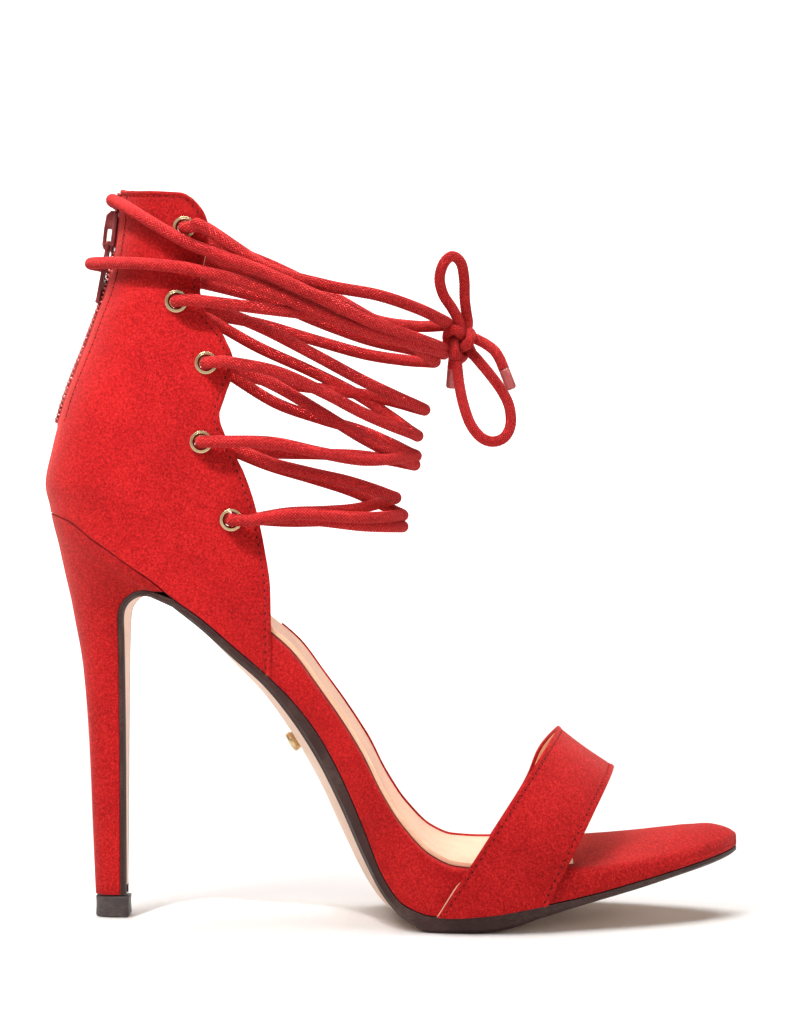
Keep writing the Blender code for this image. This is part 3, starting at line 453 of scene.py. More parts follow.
def along(rows, key, value, at):
    """One column of a table at any station, on a smooth curve that does not overshoot the rows."""
    xs, ys, slopes = table_curve(rows, key, value)
    i = np.clip(np.searchsorted(xs, at, side="right") - 1, 0, len(xs) - 2)
    span = xs[i + 1] - xs[i]
    t = np.clip((at - xs[i]) / span, 0.0, 1.0)
    start = (1 + 2 * t) * (1 - t) ** 2 * ys[i] + t * (1 - t) ** 2 * span * slopes[i]
    end = t * t * (3 - 2 * t) * ys[i + 1] + t * t * (t - 1) * span * slopes[i + 1]
    return start + end


profile_at = functools.partial(along, PROFILE, "x")
under_at = functools.partial(along, UNDER, "x")
outline_at = functools.partial(along, OUTLINE, "x")
counter_row = functools.partial(along, COUNTER, "z")
front_edge_at = functools.partial(along, FRONT_EDGE, "z", "x")


def steepness(column, x):
    """Vertical length of a unit measured square to the profile."""
    rise = profile_at(column, x + 1.0) - profile_at(column, x - 1.0)
    return math.hypot(1.0, rise / 2.0)


def arc_lengths(points):
    steps = np.linalg.norm(np.diff(np.asarray(points, float), axis=0), axis=1)
    return np.concatenate(([0.0], np.cumsum(steps)))


def crease_relief(creases, x, z):
    """Height of soft troughs and ridges at a point of a plane."""
    height = 0.0
    for crease in creases:
        lean = math.radians(crease.lean_deg)
        ahead = (x - crease.x) * math.cos(lean) + (z - crease.z) * math.sin(lean)
        aside = (z - crease.z) * math.cos(lean) - (x - crease.x) * math.sin(lean)
        height += crease.depth * math.exp(-(ahead / crease.length) ** 2 - (aside / crease.width) ** 2)
    return height


def fold_relief(distance):
    """Height of a turned edge at a distance in from that edge."""
    fold = FOLD_RISE * math.sin(math.pi * min(distance / STITCH_IN, 1.0))
    return fold - FOLD_PULL * math.exp(-((distance - STITCH_IN) / FOLD_PULL_WIDTH) ** 2)


def surface(columns, rows, place, lift=None, uv_size=(1.0, 1.0)):
    """A grid whose points go to place(column, row) and then out along the normal by lift(column, row)."""
    bm = bmesh.new()
    bmesh.ops.create_grid(bm, x_segments=columns, y_segments=rows, size=0.5)
    cells = {}
    for vert in bm.verts:
        cells[vert] = (round((vert.co.x + 0.5) * columns), round((vert.co.y + 0.5) * rows))
    uv_map = bm.loops.layers.uv.new("UVMap")
    for face in bm.faces:
        for loop in face.loops:
            column, row = cells[loop.vert]
            loop[uv_map].uv = (uv_size[0] * column / columns, uv_size[1] * row / rows)
    for vert, cell in cells.items():
        vert.co = place(*cell)
    if lift:
        bm.normal_update()
        for vert, cell in cells.items():
            vert.co += vert.normal * lift(*cell)
    return bm


def close_up(bm):
    """Joins the seam of a rolled-up grid, fills its ends and turns its faces outwards."""
    bmesh.ops.remove_doubles(bm, verts=bm.verts, dist=MERGE_DISTANCE)
    open_edges = [edge for edge in bm.edges if edge.is_boundary]
    bmesh.ops.holes_fill(bm, edges=open_edges, sides=0)
    bmesh.ops.recalc_face_normals(bm, faces=bm.faces)
    return bm


def loft(rings, uv_size=(1.0, 1.0)):
    """A closed solid through rings of equal count."""
    count = len(rings[0])
    return close_up(surface(count, len(rings) - 1, lambda i, j: rings[j][i % count], uv_size=uv_size))


def spun(profile, steps=48, closed=True):
    """A shape turned from a profile of radius and height."""
    bm = bmesh.new()
    line = [bm.verts.new((radius, 0.0, height)) for radius, height in profile]
    edges = [bm.edges.new(pair) for pair in zip(line, line[1:])]
    if closed:
        edges.append(bm.edges.new((line[-1], line[0])))
    bmesh.ops.spin(bm, geom=line + edges, axis=(0, 0, 1), cent=(0, 0, 0), angle=math.tau, steps=steps,
                   use_merge=True)
    bmesh.ops.remove_doubles(bm, verts=bm.verts, dist=MERGE_DISTANCE)
    bmesh.ops.recalc_face_normals(bm, faces=bm.faces)
    return bm


def sweep(points, radius, sides, closed=False, relief=None):
    """A round tube along points, swollen by relief(side, ring)."""
    line = np.asarray(points, float)
    count = len(line)
    ahead = np.roll(line, -1, axis=0) - np.roll(line, 1, axis=0)
    if not closed:
        ahead[0] = line[1] - line[0]
        ahead[-1] = line[-1] - line[-2]
    ahead /= np.linalg.norm(ahead, axis=1)[:, None]
    normal = np.cross(ahead[0], (0.0, 1.0, 0.0))
    if np.linalg.norm(normal) < 0.2:
        normal = np.cross(ahead[0], (1.0, 0.0, 0.0))
    frames = []
    for direction in ahead:
        normal = normal - direction * normal.dot(direction)
        normal = normal / np.linalg.norm(normal)
        frames.append((normal, np.cross(direction, normal)))
    twist = 0.0
    if closed:
        first, aside = frames[0]
        carried = normal - ahead[0] * normal.dot(ahead[0])
        twist = -math.atan2(carried.dot(aside), carried.dot(first))

    def place(i, j):
        ring = j % count
        angle = math.tau * i / sides + twist * ring / count
        reach = radius + (relief(i % sides, ring) if relief else 0.0)
        across, up = frames[ring]
        return line[ring] + (across * math.cos(angle) + up * math.sin(angle)) * reach

    rows = count if closed else count - 1
    return close_up(surface(sides, rows, place, uv_size=(1.0, rows)))


def even_route(points, pitch):
    line = np.asarray([tuple(point) for point in points], float)
    lengths = arc_lengths(line)
    stops = np.linspace(0.0, lengths[-1], max(2, round(lengths[-1] / pitch)) + 1)
    return np.stack([np.interp(stops, lengths, line[:, axis]) for axis in range(3)], axis=1)


def smooth_route(points, pitch):
    """Evenly spaced points on a smooth curve through a route's own points."""
    knots = [Vector(point) for point in points]
    knots = [2 * knots[0] - knots[1], *knots, 2 * knots[-1] - knots[-2]]
    steps = 16
    route = []
    for a, b, c, d in zip(knots, knots[1:], knots[2:], knots[3:]):
        for k in range(steps):
            t = k / steps
            route.append(0.5 * (2 * b + (c - a) * t + (2 * a - 5 * b + 4 * c - d) * t ** 2
                                + (3 * b - a - 3 * c + d) * t ** 3))
    route.append(knots[-2])
    return even_route(route, pitch)


def push_out(bm, way):
    """Gives a sheet of faces a thickness along one way."""
    pushed = bmesh.ops.extrude_face_region(bm, geom=list(bm.faces))
    moved = [item for item in pushed["geom"] if isinstance(item, bmesh.types.BMVert)]
    bmesh.ops.translate(bm, vec=way, verts=moved)
    bmesh.ops.recalc_face_normals(bm, faces=bm.faces)


def mirrored(points):
    """Points on the other side of the foot."""
    return [Vector((point.x, -point.y, point.z)) for point in points]


def sink(bm, depth):
    """Moves a sheet inwards along its normals."""
    bm.normal_update()
    for vert in bm.verts:
        vert.co -= vert.normal * depth


def join(parts):
    """One bmesh from several."""
    whole = bmesh.new()
    for part in parts:
        mesh = bpy.data.meshes.new("part")
        part.to_mesh(mesh)
        part.free()
        whole.from_mesh(mesh)
        bpy.data.meshes.remove(mesh)
    return whole


def box(bm, low, high, bevel, segments):
    """A box with rounded edges between two corners."""
    made = bmesh.ops.create_cube(bm, size=1.0)["verts"]
    bmesh.ops.scale(bm, vec=Vector(high) - Vector(low), verts=made)
    bmesh.ops.translate(bm, vec=(Vector(high) + Vector(low)) / 2, verts=made)
    edges = list({edge for vert in made for edge in vert.link_edges})
    rounded = bmesh.ops.bevel(bm, geom=edges, offset=bevel, segments=segments, profile=0.5,
                              affect="EDGES", material=-1)
    return list({vert for face in rounded["faces"] for vert in face.verts})


def add_object(name, data):
    made = bpy.data.objects.new(name, data)
    bpy.context.scene.collection.objects.link(made)
    return made


def add_mesh(name, bm, material):
    mesh = bpy.data.meshes.new(name)
    bm.to_mesh(mesh)
    bm.free()
    mesh.materials.append(material)
    mesh.shade_smooth()
    return add_object(name, mesh)


def add_piece(name, bm, material, replaces=(), body="shoe", matrix=TO_PART):
    """Makes a drawn shape a piece of the shoe, in metres, on its body."""
    bmesh.ops.transform(bm, matrix=matrix, verts=bm.verts)
    piece = add_mesh(name, bm, material)
    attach(piece, body)
    if replaces:
        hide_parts(*replaces)
    return piece


def sharpen(piece, degrees):
    piece.data.set_sharp_from_angle(angle=math.radians(degrees))


def round_edges(piece, width, segments, degrees=50.0):
    edge = piece.modifiers.new("edge", "BEVEL")
    edge.width = width * MM
    edge.segments = segments
    edge.limit_method = "ANGLE"
    edge.angle_limit = math.radians(degrees)


def thicken(piece, wall, rounding):
    """Gives a sheet its wall, inwards, with rounded edges."""
    solid = piece.modifiers.new("wall", "SOLIDIFY")
    solid.thickness = wall * MM
    solid.offset = -1.0
    round_edges(piece, rounding, segments=3)


# The closed back


COUNTER_HEIGHTS = np.linspace(64.0, 218.0, 309)
PLAN_POINTS = 120
FOOT_START_Z = 100.0
FOOT_SEARCHES = 10
LINING_IN = 0.5
LINING_GAP = 0.03
SLOT_MARGIN = 0.4
PUNCH_RADIUS = 2.6
PUNCH_RIM = 1.2
PUNCH_REACH = 5.0


def counter_plan(z, inset=0.0):
    """Plan curve of the closed back at one height, from centre back to front edge."""
    back = counter_row("back", z) + inset
    half_width = counter_row("half_width", z) - inset
    rounded = counter_row("round", z) - inset
    tuck = counter_row("tuck", z)
    length = front_edge_at(z) - back
    depth = length * (1.0 - np.cos(np.linspace(0.0, math.pi / 2.0, PLAN_POINTS)))
    before_side = np.clip(1.0 - depth / rounded, 0.0, 1.0)
    past_side = np.clip((depth - rounded) / max(length - rounded, 1.0), 0.0, 1.0)
    y = half_width * np.sqrt(1.0 - before_side ** 2) - tuck * past_side ** 2
    return back + depth, y


@functools.cache
def counter_levels():
    levels = []
    for z in COUNTER_HEIGHTS:
        x, y = counter_plan(z)
        levels.append((arc_lengths(np.stack((x, y), axis=1)), x, y))
    return levels


def counter_at(z, arc):
    """Point of the outer face at a height and a distance round from the centre back."""
    step = COUNTER_HEIGHTS[1] - COUNTER_HEIGHTS[0]
    level = min(max((z - COUNTER_HEIGHTS[0]) / step, 0.0), len(COUNTER_HEIGHTS) - 1.001)
    low = int(level)
    share = level - low
    below, above = counter_levels()[low:low + 2]
    x = np.interp(arc, below[0], below[1]) * (1 - share) + np.interp(arc, above[0], above[1]) * share
    y = np.interp(arc, below[0], below[2]) * (1 - share) + np.interp(arc, above[0], above[2]) * share
    return float(x), float(y)


def counter_reach(z):
    """Distance round from the centre back to the front edge."""
    totals = [level[0][-1] for level in counter_levels()]
    return float(np.interp(z, COUNTER_HEIGHTS, totals))


def counter_half_width(x, z, inset=0.0):
    xs, ys = counter_plan(z, inset)
    return float(np.interp(x, xs, ys))


def counter_frame(x, z, side):
    """Frame on the outer face: local Z points out of the upper, local X towards the front edge."""
    y = counter_half_width(x, z)
    step = 0.5
    along_x = Vector((2 * step, counter_half_width(x + step, z) - counter_half_width(x - step, z), 0.0))
    along_z = Vector((0.0, counter_half_width(x, z + step) - counter_half_width(x, z - step), 2 * step))
    out = along_z.cross(along_x).normalized()
    out = Vector((out.x, abs(out.y) * side, out.z))
    forward = Vector((along_x.x, along_x.y * side, 0.0)).normalized()
    forward = (forward - out * forward.dot(out)).normalized()
    axes = Matrix((forward, out.cross(forward), out)).transposed().to_4x4()
    return Matrix.Translation((x, y * side, z)) @ axes


def eyelet_frame(number, side):
    eyelet = EYELETS[number]
    return counter_frame(eyelet.x - (INNER_SET_BACK if side > 0.0 else 0.0), eyelet.z, side)


def eyelet_places():
    for side, word in ((-1.0, "outer"), (1.0, "inner")):
        for number in range(len(EYELETS)):
            yield f"{word}_{number + 1}", eyelet_frame(number, side)


BACK_STRIP = 3
MIDDLE_COLUMNS = 54
SIDE_COLUMNS = BACK_STRIP + 2 * (len(EDGE_STEPS) - 1) + MIDDLE_COLUMNS
MIDDLE_ROWS = 120
COUNTER_ROWS = MIDDLE_ROWS + len(EDGE_STEPS) - 1


def counter_arc(column, z, set_back):
    """Distance round from the centre back of one column of the closed back's grid."""
    last = len(EDGE_STEPS) - 1
    front = counter_reach(z) - set_back
    if column <= BACK_STRIP:
        return ZIP_SLOT * column / BACK_STRIP
    if column <= BACK_STRIP + last:
        return ZIP_SLOT + EDGE_STEPS[column - BACK_STRIP]
    if column >= SIDE_COLUMNS - last:
        return front - EDGE_STEPS[SIDE_COLUMNS - column]
    share = (column - BACK_STRIP - last) / MIDDLE_COLUMNS
    low, high = ZIP_SLOT + EDGE_STEPS[-1], front - EDGE_STEPS[-1]
    return low + (high - low) * share


def edge_slant(z):
    """How far round the upper a unit square to the front edge reaches."""
    return math.hypot(1.0, front_edge_at(z + 0.5) - front_edge_at(z - 0.5))


def collar_height(arc):
    return COLLAR_Z - float(along(COLLAR, "arc", "dip", arc))


def counter_foot(column, set_back):
    """Height of the lower edge, which follows the seam on heel and sole."""
    z = FOOT_START_Z
    for _ in range(FOOT_SEARCHES):
        x = counter_at(z, counter_arc(column, z, set_back))[0]
        z = profile_at("edge", x) + GAP * steepness("edge", x)
    return float(z)


def counter_sheet(margin):
    """Outer face of the closed back with folds and creases, short of its free edges by a margin."""
    set_backs = {-1.0: margin, 1.0: INNER_SET_BACK + margin}
    feet = {}
    for side in (-1.0, 1.0):
        for column in range(SIDE_COLUMNS + 1):
            feet[side, column] = counter_foot(column, set_backs[side])

    def cell(i, j):
        side = 1.0 if i < SIDE_COLUMNS else -1.0
        column = abs(SIDE_COLUMNS - i)
        foot = feet[side, column]
        top = collar_height(counter_arc(column, COLLAR_Z - COLLAR[-1].dip, set_backs[side])) - margin
        if j > MIDDLE_ROWS:
            z = top - EDGE_STEPS[COUNTER_ROWS - j]
        else:
            z = foot + (top - EDGE_STEPS[-1] - foot) * j / MIDDLE_ROWS
        return side, counter_arc(column, z, set_backs[side]), z, top

    def place(i, j):
        side, arc, z, _ = cell(i, j)
        x, y = counter_at(z, arc)
        return x, y * side, z

    def lift(i, j):
        side, arc, z, top = cell(i, j)
        x = counter_at(z, arc)[0]
        from_front = (counter_reach(z) - set_backs[side] - arc) / edge_slant(z)
        height = fold_relief(min(from_front, top - z))
        if z > ZIP_BOTTOM_Z:
            height += FOLD_RISE * math.sin(math.pi * min(max(arc - ZIP_SLOT, 0.0) / STITCH_IN, 1.0))
        if side < 0.0:
            height += crease_relief(CREASES, x, z)
        return height

    bm = surface(2 * SIDE_COLUMNS, COUNTER_ROWS, place, lift)
    slot = [face for face in bm.faces if face.calc_center_median().z > ZIP_BOTTOM_Z
            and abs(face.calc_center_median().y) < ZIP_SLOT - SLOT_MARGIN]
    bmesh.ops.delete(bm, geom=slot, context="FACES")
    return bm


def punch(bm, frame_on_face, radius):
    """Opens a round hole in a sheet and draws its rim to the radius."""
    to_local = frame_on_face.inverted()

    def from_axis(point):
        local = to_local @ point
        return math.hypot(local.x, local.y) if abs(local.z) < PUNCH_REACH else math.inf

    inside = [face for face in bm.faces if from_axis(face.calc_center_median()) < radius]
    bmesh.ops.delete(bm, geom=inside, context="FACES")
    for vert in bm.verts:
        if vert.is_boundary and from_axis(vert.co) < radius + PUNCH_RIM:
            local = to_local @ vert.co
            scale = radius / math.hypot(local.x, local.y)
            vert.co = frame_on_face @ Vector((local.x * scale, local.y * scale, local.z))


def closed_back():
    """Suede outside and lining inside, each with the eyelet holes and the slot for the zip."""
    outside = counter_sheet(0.0)
    inside = counter_sheet(LINING_IN)
    sink(inside, SUEDE_WALL + LINING_GAP)
    for sheet in (outside, inside):
        for _, place in eyelet_places():
            punch(sheet, place, PUNCH_RADIUS)
    suede = add_piece("back_suede", outside, SUEDE, ["counter"])
    thicken(suede, SUEDE_WALL, rounding=0.55)
    lining = add_piece("back_lining", inside, LINING)
    thicken(lining, LINING_WALL, rounding=0.2)


# Footbed, insole and sole


BED_BACK_X = -101.6
BED_SIDE_STEPS = 6
BED_SIDE_FULL = 0.35
BED_FLAT_SHARES = np.linspace(-0.9, 0.9, 19)
RIM_STEPS = 7
SEAT_STATIONS = 26
SOLE_STATIONS = 150
TOE_CROWDING = 1.25
STEP_WIDTH = 0.2
INSOLE_BACK_X = -100.4
INSOLE_COLUMNS = 30


def sole_stations():
    """Stations in front of the seat, closer together towards the toe."""
    shares = np.linspace(0.0, 1.0, SOLE_STATIONS)
    span = PROFILE[-1].x - SEAT_FRONT_X
    stations = list(SEAT_FRONT_X + span * (1.0 - (1.0 - shares) ** TOE_CROWDING))
    for step in (BED_STEP_X, BED_STEP_X - INNER_SET_BACK):
        stations += [step - STEP_WIDTH, step]
    return sorted(stations)


def bed_stations():
    return [*np.linspace(BED_BACK_X, SEAT_FRONT_X - 1.0, SEAT_STATIONS), *sole_stations()]


def bed_edges(x):
    """Y of the footbed's outer and inner edges, which step in where the closed back covers them."""
    low = profile_at("edge", x)
    high = profile_at("bed", x)
    half = min(counter_half_width(x, z, WALL + 2 * GAP) for z in (low, (low + high) / 2, high))
    outer = -half if x < BED_STEP_X else outline_at("outer", x)
    inner = half if x < BED_STEP_X - INNER_SET_BACK else outline_at("inner", x)
    return float(outer), float(inner)


def ease(value, low, high):
    """0 up to low, 1 from high, and a smooth rise between them."""
    share = min(max((value - low) / (high - low), 0.0), 1.0)
    return share * share * (3.0 - 2.0 * share)


def bed_height(x, share, width):
    """Height of the footbed's top: crowned and tipped at the toe, rounded off towards both edges."""
    height = profile_at("bed", x) + profile_at("dome", x) * (1 - share ** 2)
    toe = ease(x, *TOE_FROM) * (1.0 - ease(x, *TOE_TO))
    height += toe * (TOE_CROWN * (1 - share ** 2) + TOE_TIP * share)
    if x > BED_STEP_X:
        lip = INNER_LIP * steepness("bed", x) * (1.0 - ease(x, *INNER_LIP_END))
        height += lip * ease(share, *INNER_LIP_SHARE)
    rounding = min(rim_round(x), width / 4)
    from_edge = (1.0 - abs(share)) * width / 2
    if from_edge < rounding:
        height -= rounding - math.sqrt(max(rounding ** 2 - (rounding - from_edge) ** 2, 0.0))
    return float(height)


def rim_round(x):
    return RIM_ROUND + (TOE_ROUND - RIM_ROUND) * ease(x, *TOE_FROM)


def footbed_cover():
    """Suede over the platform: flat below, a slightly full side and a rounded rim."""
    rim = [math.sin(math.pi / 2 * k / RIM_STEPS) for k in range(RIM_STEPS + 1)]
    levels = [k / BED_SIDE_STEPS for k in range(BED_SIDE_STEPS)]
    rings = []
    for x in bed_stations():
        outer, inner = bed_edges(x)
        middle, half = (outer + inner) / 2, (inner - outer) / 2
        edge_share = max(1.0 - min(rim_round(x), half / 2) / half, 0.0)
        outside = [-1.0 + (1.0 - edge_share) * (1.0 - value) for value in reversed(rim)]
        shares = [*outside, *(BED_FLAT_SHARES * edge_share), *(-share for share in reversed(outside))]
        top = [(x, middle + share * half, bed_height(x, share, 2 * half)) for share in shares]
        if x > INSOLE_FRONT_X:
            top = [(x, y, z + crease_relief(TOE_CREASES, x, y)) for x, y, z in top]
        foot = profile_at("edge", x) + GAP * steepness("edge", x)
        full = BED_SIDE_FULL if x > BED_STEP_X else 0.0
        side = [(full * math.sin(math.pi * level), level) for level in levels]
        rise = top[0][2] - foot
        left = [(x, outer - out, foot + rise * share) for out, share in side]
        right = [(x, inner + out, foot + rise * share) for out, share in reversed(side)]
        rings.append(left + top + right)
    piece = add_piece("platform_suede", loft(rings), SUEDE, ["footbed"])
    sharpen(piece, degrees=50.0)


def insole():
    """Sock lining with a soft rolled edge, ending under the toe strap."""
    stations = [x for x in bed_stations() if INSOLE_BACK_X < x < INSOLE_FRONT_X] + [INSOLE_FRONT_X]

    def place(i, j):
        x = stations[j]
        outer, inner = bed_edges(x)
        share = RIM_SHARE * math.sin(math.pi / 2 * (1 - 2 * i / INSOLE_COLUMNS))
        y = (outer + inner) / 2 + share * (inner - outer) / 2
        rise = (GAP + INSOLE_THICKNESS) * steepness("bed", x)
        base = profile_at("bed", x) + profile_at("dome", x) * (1 - share ** 2)
        return x, y, base + rise

    sheet = surface(INSOLE_COLUMNS, len(stations) - 1, place)
    piece = add_piece("sock_lining", sheet, LINING, ["insole"])
    thicken(piece, INSOLE_THICKNESS, rounding=0.45)


HeelStation = namedtuple("HeelStation", "row back_x back_z turn drop half_width round")
HEEL_STATIONS = tuple(HeelStation(number, *row) for number, row in enumerate(HEEL))
HEEL_STEPS = 90
HEEL_BLEND_STEPS = 6
FLAP_GAP = 0.14
D_STEPS = 24
LIFT_LEVELS = ((0.0, 0.55), (0.25, 0.2), (0.6, 0.0), (1.4, 0.05), (3.2, 0.12), (5.2, 0.05),
               (LIFT_HEIGHT - 0.35, 0.0), (LIFT_HEIGHT - 0.1, 0.15), (LIFT_HEIGHT, 0.4))


def heel_station(row):
    return HeelStation(row, *(float(along(HEEL_STATIONS, "row", column, row)) for column in HEEL[0]._fields))


def breast_point(row, offset):
    """Point on the heel's breast, offset from the visible face of the sole's flap."""
    angle = math.radians(row.turn)
    radius = BREAST_RADIUS + offset
    x = BREAST_CENTRE[0] + radius * math.cos(angle)
    z = BREAST_CENTRE[1] + radius * math.sin(angle) - row.drop
    return x, z


FLAP_STATIONS = 70
EDGE_WIDTH = 1.7
EDGE_BEVEL = 1.2
EDGE_BEVEL_LIMIT = 0.42
EDGE_LEVELS = (0.75, 0.45)
RIM_SHARE_LEAST = 0.3
FACE_DEPTH = 0.6
FACE_PLAY = 0.1
FACE_SUNK = 0.05
FACE_WALL_SHARE = 0.01
FACE_TOE_ROWS = 5
UNDER_SHARES = tuple(math.sin(math.pi / 2 * k / 10) for k in range(-10, 11))


def sole_sections():
    """Sections of the sole from the foot of its flap to the toe.

    Each has its middle, its half width, the point of its hidden face, a function from a share of the
    half width to a point of its visible face, and the way into the sole."""
    for level in np.linspace(len(HEEL) - 1, 0, FLAP_STATIONS):
        row = heel_station(level)
        hidden, visible = breast_point(row, FLAP_THICKNESS), breast_point(row, 0.0)
        inwards = Vector((hidden[0] - visible[0], 0.0, hidden[1] - visible[1])).normalized()

        def under(share, spot=visible):
            return Vector((spot[0], 0.0, spot[1]))

        yield 0.0, row.half_width - FLAP_INSET, Vector((hidden[0], 0.0, hidden[1])), under, inwards
    for x in sole_stations():
        outer, inner = outline_at("outer", x), outline_at("inner", x)
        edge = profile_at("edge", x)
        lower, belly = under_at("under", x), under_at("belly", x)
        slope = under_at("under", x + 1.0) - under_at("under", x - 1.0)
        inwards = Vector((-slope / 2.0, 0.0, 1.0)).normalized()

        def under(share, x=x, lower=lower, belly=belly):
            return Vector((x, 0.0, lower - belly * (1 - share ** 2)))

        yield (outer + inner) / 2, (inner - outer) / 2, Vector((x, 0.0, edge)), under, inwards


def sole():
    """Dark edge all round, with the pale face let into its under side."""
    rings = []
    face_rows = []
    for middle, half, top_point, under, inwards in sole_sections():
        def at(point, share):
            return Vector((point.x, middle + share * half, point.z))

        corner = under(1.0)
        bevel = min(EDGE_BEVEL, half / 3) / half
        thickness = (top_point - corner).length
        levels = (*EDGE_LEVELS, min(EDGE_BEVEL / max(thickness, 0.1), EDGE_BEVEL_LIMIT))
        rim = max(1.0 - EDGE_WIDTH / half, RIM_SHARE_LEAST)
        recess = inwards * FACE_DEPTH
        right = [at(corner.lerp(top_point, level), 1.0) for level in levels]
        wall = rim - FACE_WALL_SHARE
        right += [at(corner, 1.0 - bevel), at(under(rim), rim), at(under(rim) + recess, wall)]
        left = [at(under(rim) + recess, -wall), at(under(rim), -rim), at(corner, bevel - 1.0)]
        left += [at(corner.lerp(top_point, level), -1.0) for level in reversed(levels)]
        top = [at(top_point, share) for share in (-1.0, -0.5, 0.0, 0.5, 1.0)]
        rings.append(top + right + [at(under(0.0) + recess, 0.0)] + left)
        shares = [share * rim for share in UNDER_SHARES]
        face_rows.append([at(under(share) + inwards * FACE_SUNK, share) for share in shares])
    edge = add_piece("sole_edge", loft(rings), SOLE_EDGE, ["outsole"])
    sharpen(edge, degrees=35.0)
    face_rows = face_rows[1:-FACE_TOE_ROWS]
    sheet = surface(len(UNDER_SHARES) - 1, len(face_rows) - 1, lambda i, j: face_rows[j][i])
    thicken(add_piece("sole_face", sheet, SOLE_FACE), FACE_DEPTH - FACE_PLAY, rounding=0.12)


def d_ring(back, front, half_width, rounded, height=None):
    """A D-shaped ring, straight across the front and round at the back."""
    side = []
    for k in range(D_STEPS + 1):
        share = math.sin(math.pi / 2 * k / D_STEPS)
        x = front[0] + (back[0] - front[0]) * share
        z = height(x) if height else front[1] + (back[1] - front[1]) * share
        before_side = min(max(1.0 - (x - back[0]) / rounded, 0.0), 1.0)
        side.append(Vector((x, half_width * math.sqrt(1.0 - before_side ** 2), z)))
    return mirrored(side) + side[-2::-1]


def heel_cover():
    """Suede over the heel, from the seat down to the top lift."""
    back_x = float(counter_row("back", HEEL_TOP_BACK_Z))
    front_z = float(profile_at("edge", HEEL_TOP_FRONT_X))
    seat = d_ring((back_x, HEEL_TOP_BACK_Z), (HEEL_TOP_FRONT_X, front_z), HEEL_TOP_HALF_WIDTH,
                  HEEL_TOP_ROUND, lambda x: float(profile_at("edge", x)))
    rings = []
    for level in np.linspace(0, len(HEEL) - 1, HEEL_STEPS):
        row = heel_station(level)
        front = breast_point(row, FLAP_THICKNESS + FLAP_GAP)
        rings.append(d_ring((row.back_x, row.back_z), front, row.half_width, row.round))
    shares = [k / HEEL_BLEND_STEPS for k in range(HEEL_BLEND_STEPS)]
    blend = [[a.lerp(b, share) for a, b in zip(seat, rings[0])] for share in shares]
    piece = add_piece("heel_suede", loft(blend + rings), SUEDE, ["heel"])
    round_edges(piece, width=0.25, segments=2)


def heel_tip():
    """Top lift: a hard tread with a waisted side and a bevelled foot."""
    rings = []
    for z, inset in LIFT_LEVELS:
        rings.append(d_ring((LIFT_BACK_X + inset, z), (LIFT_FRONT_X - inset, z),
                            LIFT_HALF_WIDTH - inset, LIFT_ROUND))
    piece = add_piece("heel_tip", loft(rings), HEEL_TIP, ["top_lift"])
    sharpen(piece, degrees=40.0)


# Toe strap


STRAP_SUEDE = 1.0
STRAP_LINING = 0.54
STRAP_LINING_IN = 1.1
STRAP_FOLD_SHARE = 0.8
STRAP_CUT = 0.5
STRAP_CUT_Z = (13.0, 19.0)
STRAP_TUCK = 0.9
STRAP_GAPE = 2.6
STRAP_GAPE_Y = (1.0, 14.0)
STRAP_GAPE_Z = 49.0
STRAP_GAPE_SPAN = 8.0
STRAP_STEPS = 150
STRAP_MIDDLE = 26
STRAP_CROWDING = 0.035
STRAP_COLUMNS = STRAP_MIDDLE + 2 * (len(EDGE_STEPS) - 1)
STRAP_DENTS = table(
    CREASE,
    (57.0, 36.0, 9.0, 5.0, 50, -0.55),
    (44.0, 31.0, 10.0, 4.0, 55, 0.35),
    (50.0, 18.0, 8.0, 4.0, 30, -0.30),
)


def strap_point(across, angle):
    """Point on the strap's outer face, across 0 at its rear edge and 1 at its front edge."""
    power = 2.0 / STRAP_ROUNDNESS
    rise = max(math.sin(angle), 0.0) ** power
    reach = abs(math.cos(angle)) ** power
    side = math.copysign(1.0, math.cos(angle))
    ridge = STRAP_REAR.ridge_z + (STRAP_FRONT.ridge_z - STRAP_REAR.ridge_z) * across

    def station(z, y):
        rear = STRAP_REAR.base_x + STRAP_REAR.lean * z + STRAP_SKEW * y
        gape = STRAP_GAPE * math.exp(-((z - STRAP_GAPE_Z) / STRAP_GAPE_SPAN) ** 2)
        rear += ease(y, *STRAP_GAPE_Y) * (STRAP_TUCK - gape)
        front = STRAP_FRONT.base_x + STRAP_FRONT.lean * z + STRAP_SKEW * y
        return rear + (front - rear) * across

    edge_y = STRAP_EDGE_Y * side
    foot = profile_at("edge", station(STRAP_FOOT_Z, edge_y)) + GAP
    z = foot + (ridge - foot) * rise
    column = "inner" if side > 0.0 else "outer"
    edge = outline_at(column, station(min(z, STRAP_BED_Z), edge_y))
    span = abs(edge - STRAP_APEX_Y) + GAP + STRAP_WALL + STRAP_SPARE
    y = STRAP_APEX_Y + side * span * reach
    return Vector((station(z, y), y, z))


def strap_width(angle):
    return (strap_point(1.0, angle) - strap_point(0.0, angle)).length


def strap_angle(row):
    """Angles that lie closer together near the strap's feet, where it turns down steeply."""
    share = row / STRAP_STEPS
    return math.pi * (1.0 - share + STRAP_CROWDING * math.sin(math.tau * share))


def strap_cell(i, j):
    angle = strap_angle(j)
    width = strap_width(angle)
    last = len(EDGE_STEPS) - 1
    if i <= last:
        offset = EDGE_STEPS[i]
    elif i >= STRAP_COLUMNS - last:
        offset = width - EDGE_STEPS[STRAP_COLUMNS - i]
    else:
        offset = EDGE_STEPS[-1] + (width - 2 * EDGE_STEPS[-1]) * (i - last) / STRAP_MIDDLE
    return angle, offset, width


def strap_dents(point):
    return crease_relief(STRAP_DENTS, point.x, point.z) if point.y < 0.0 else 0.0


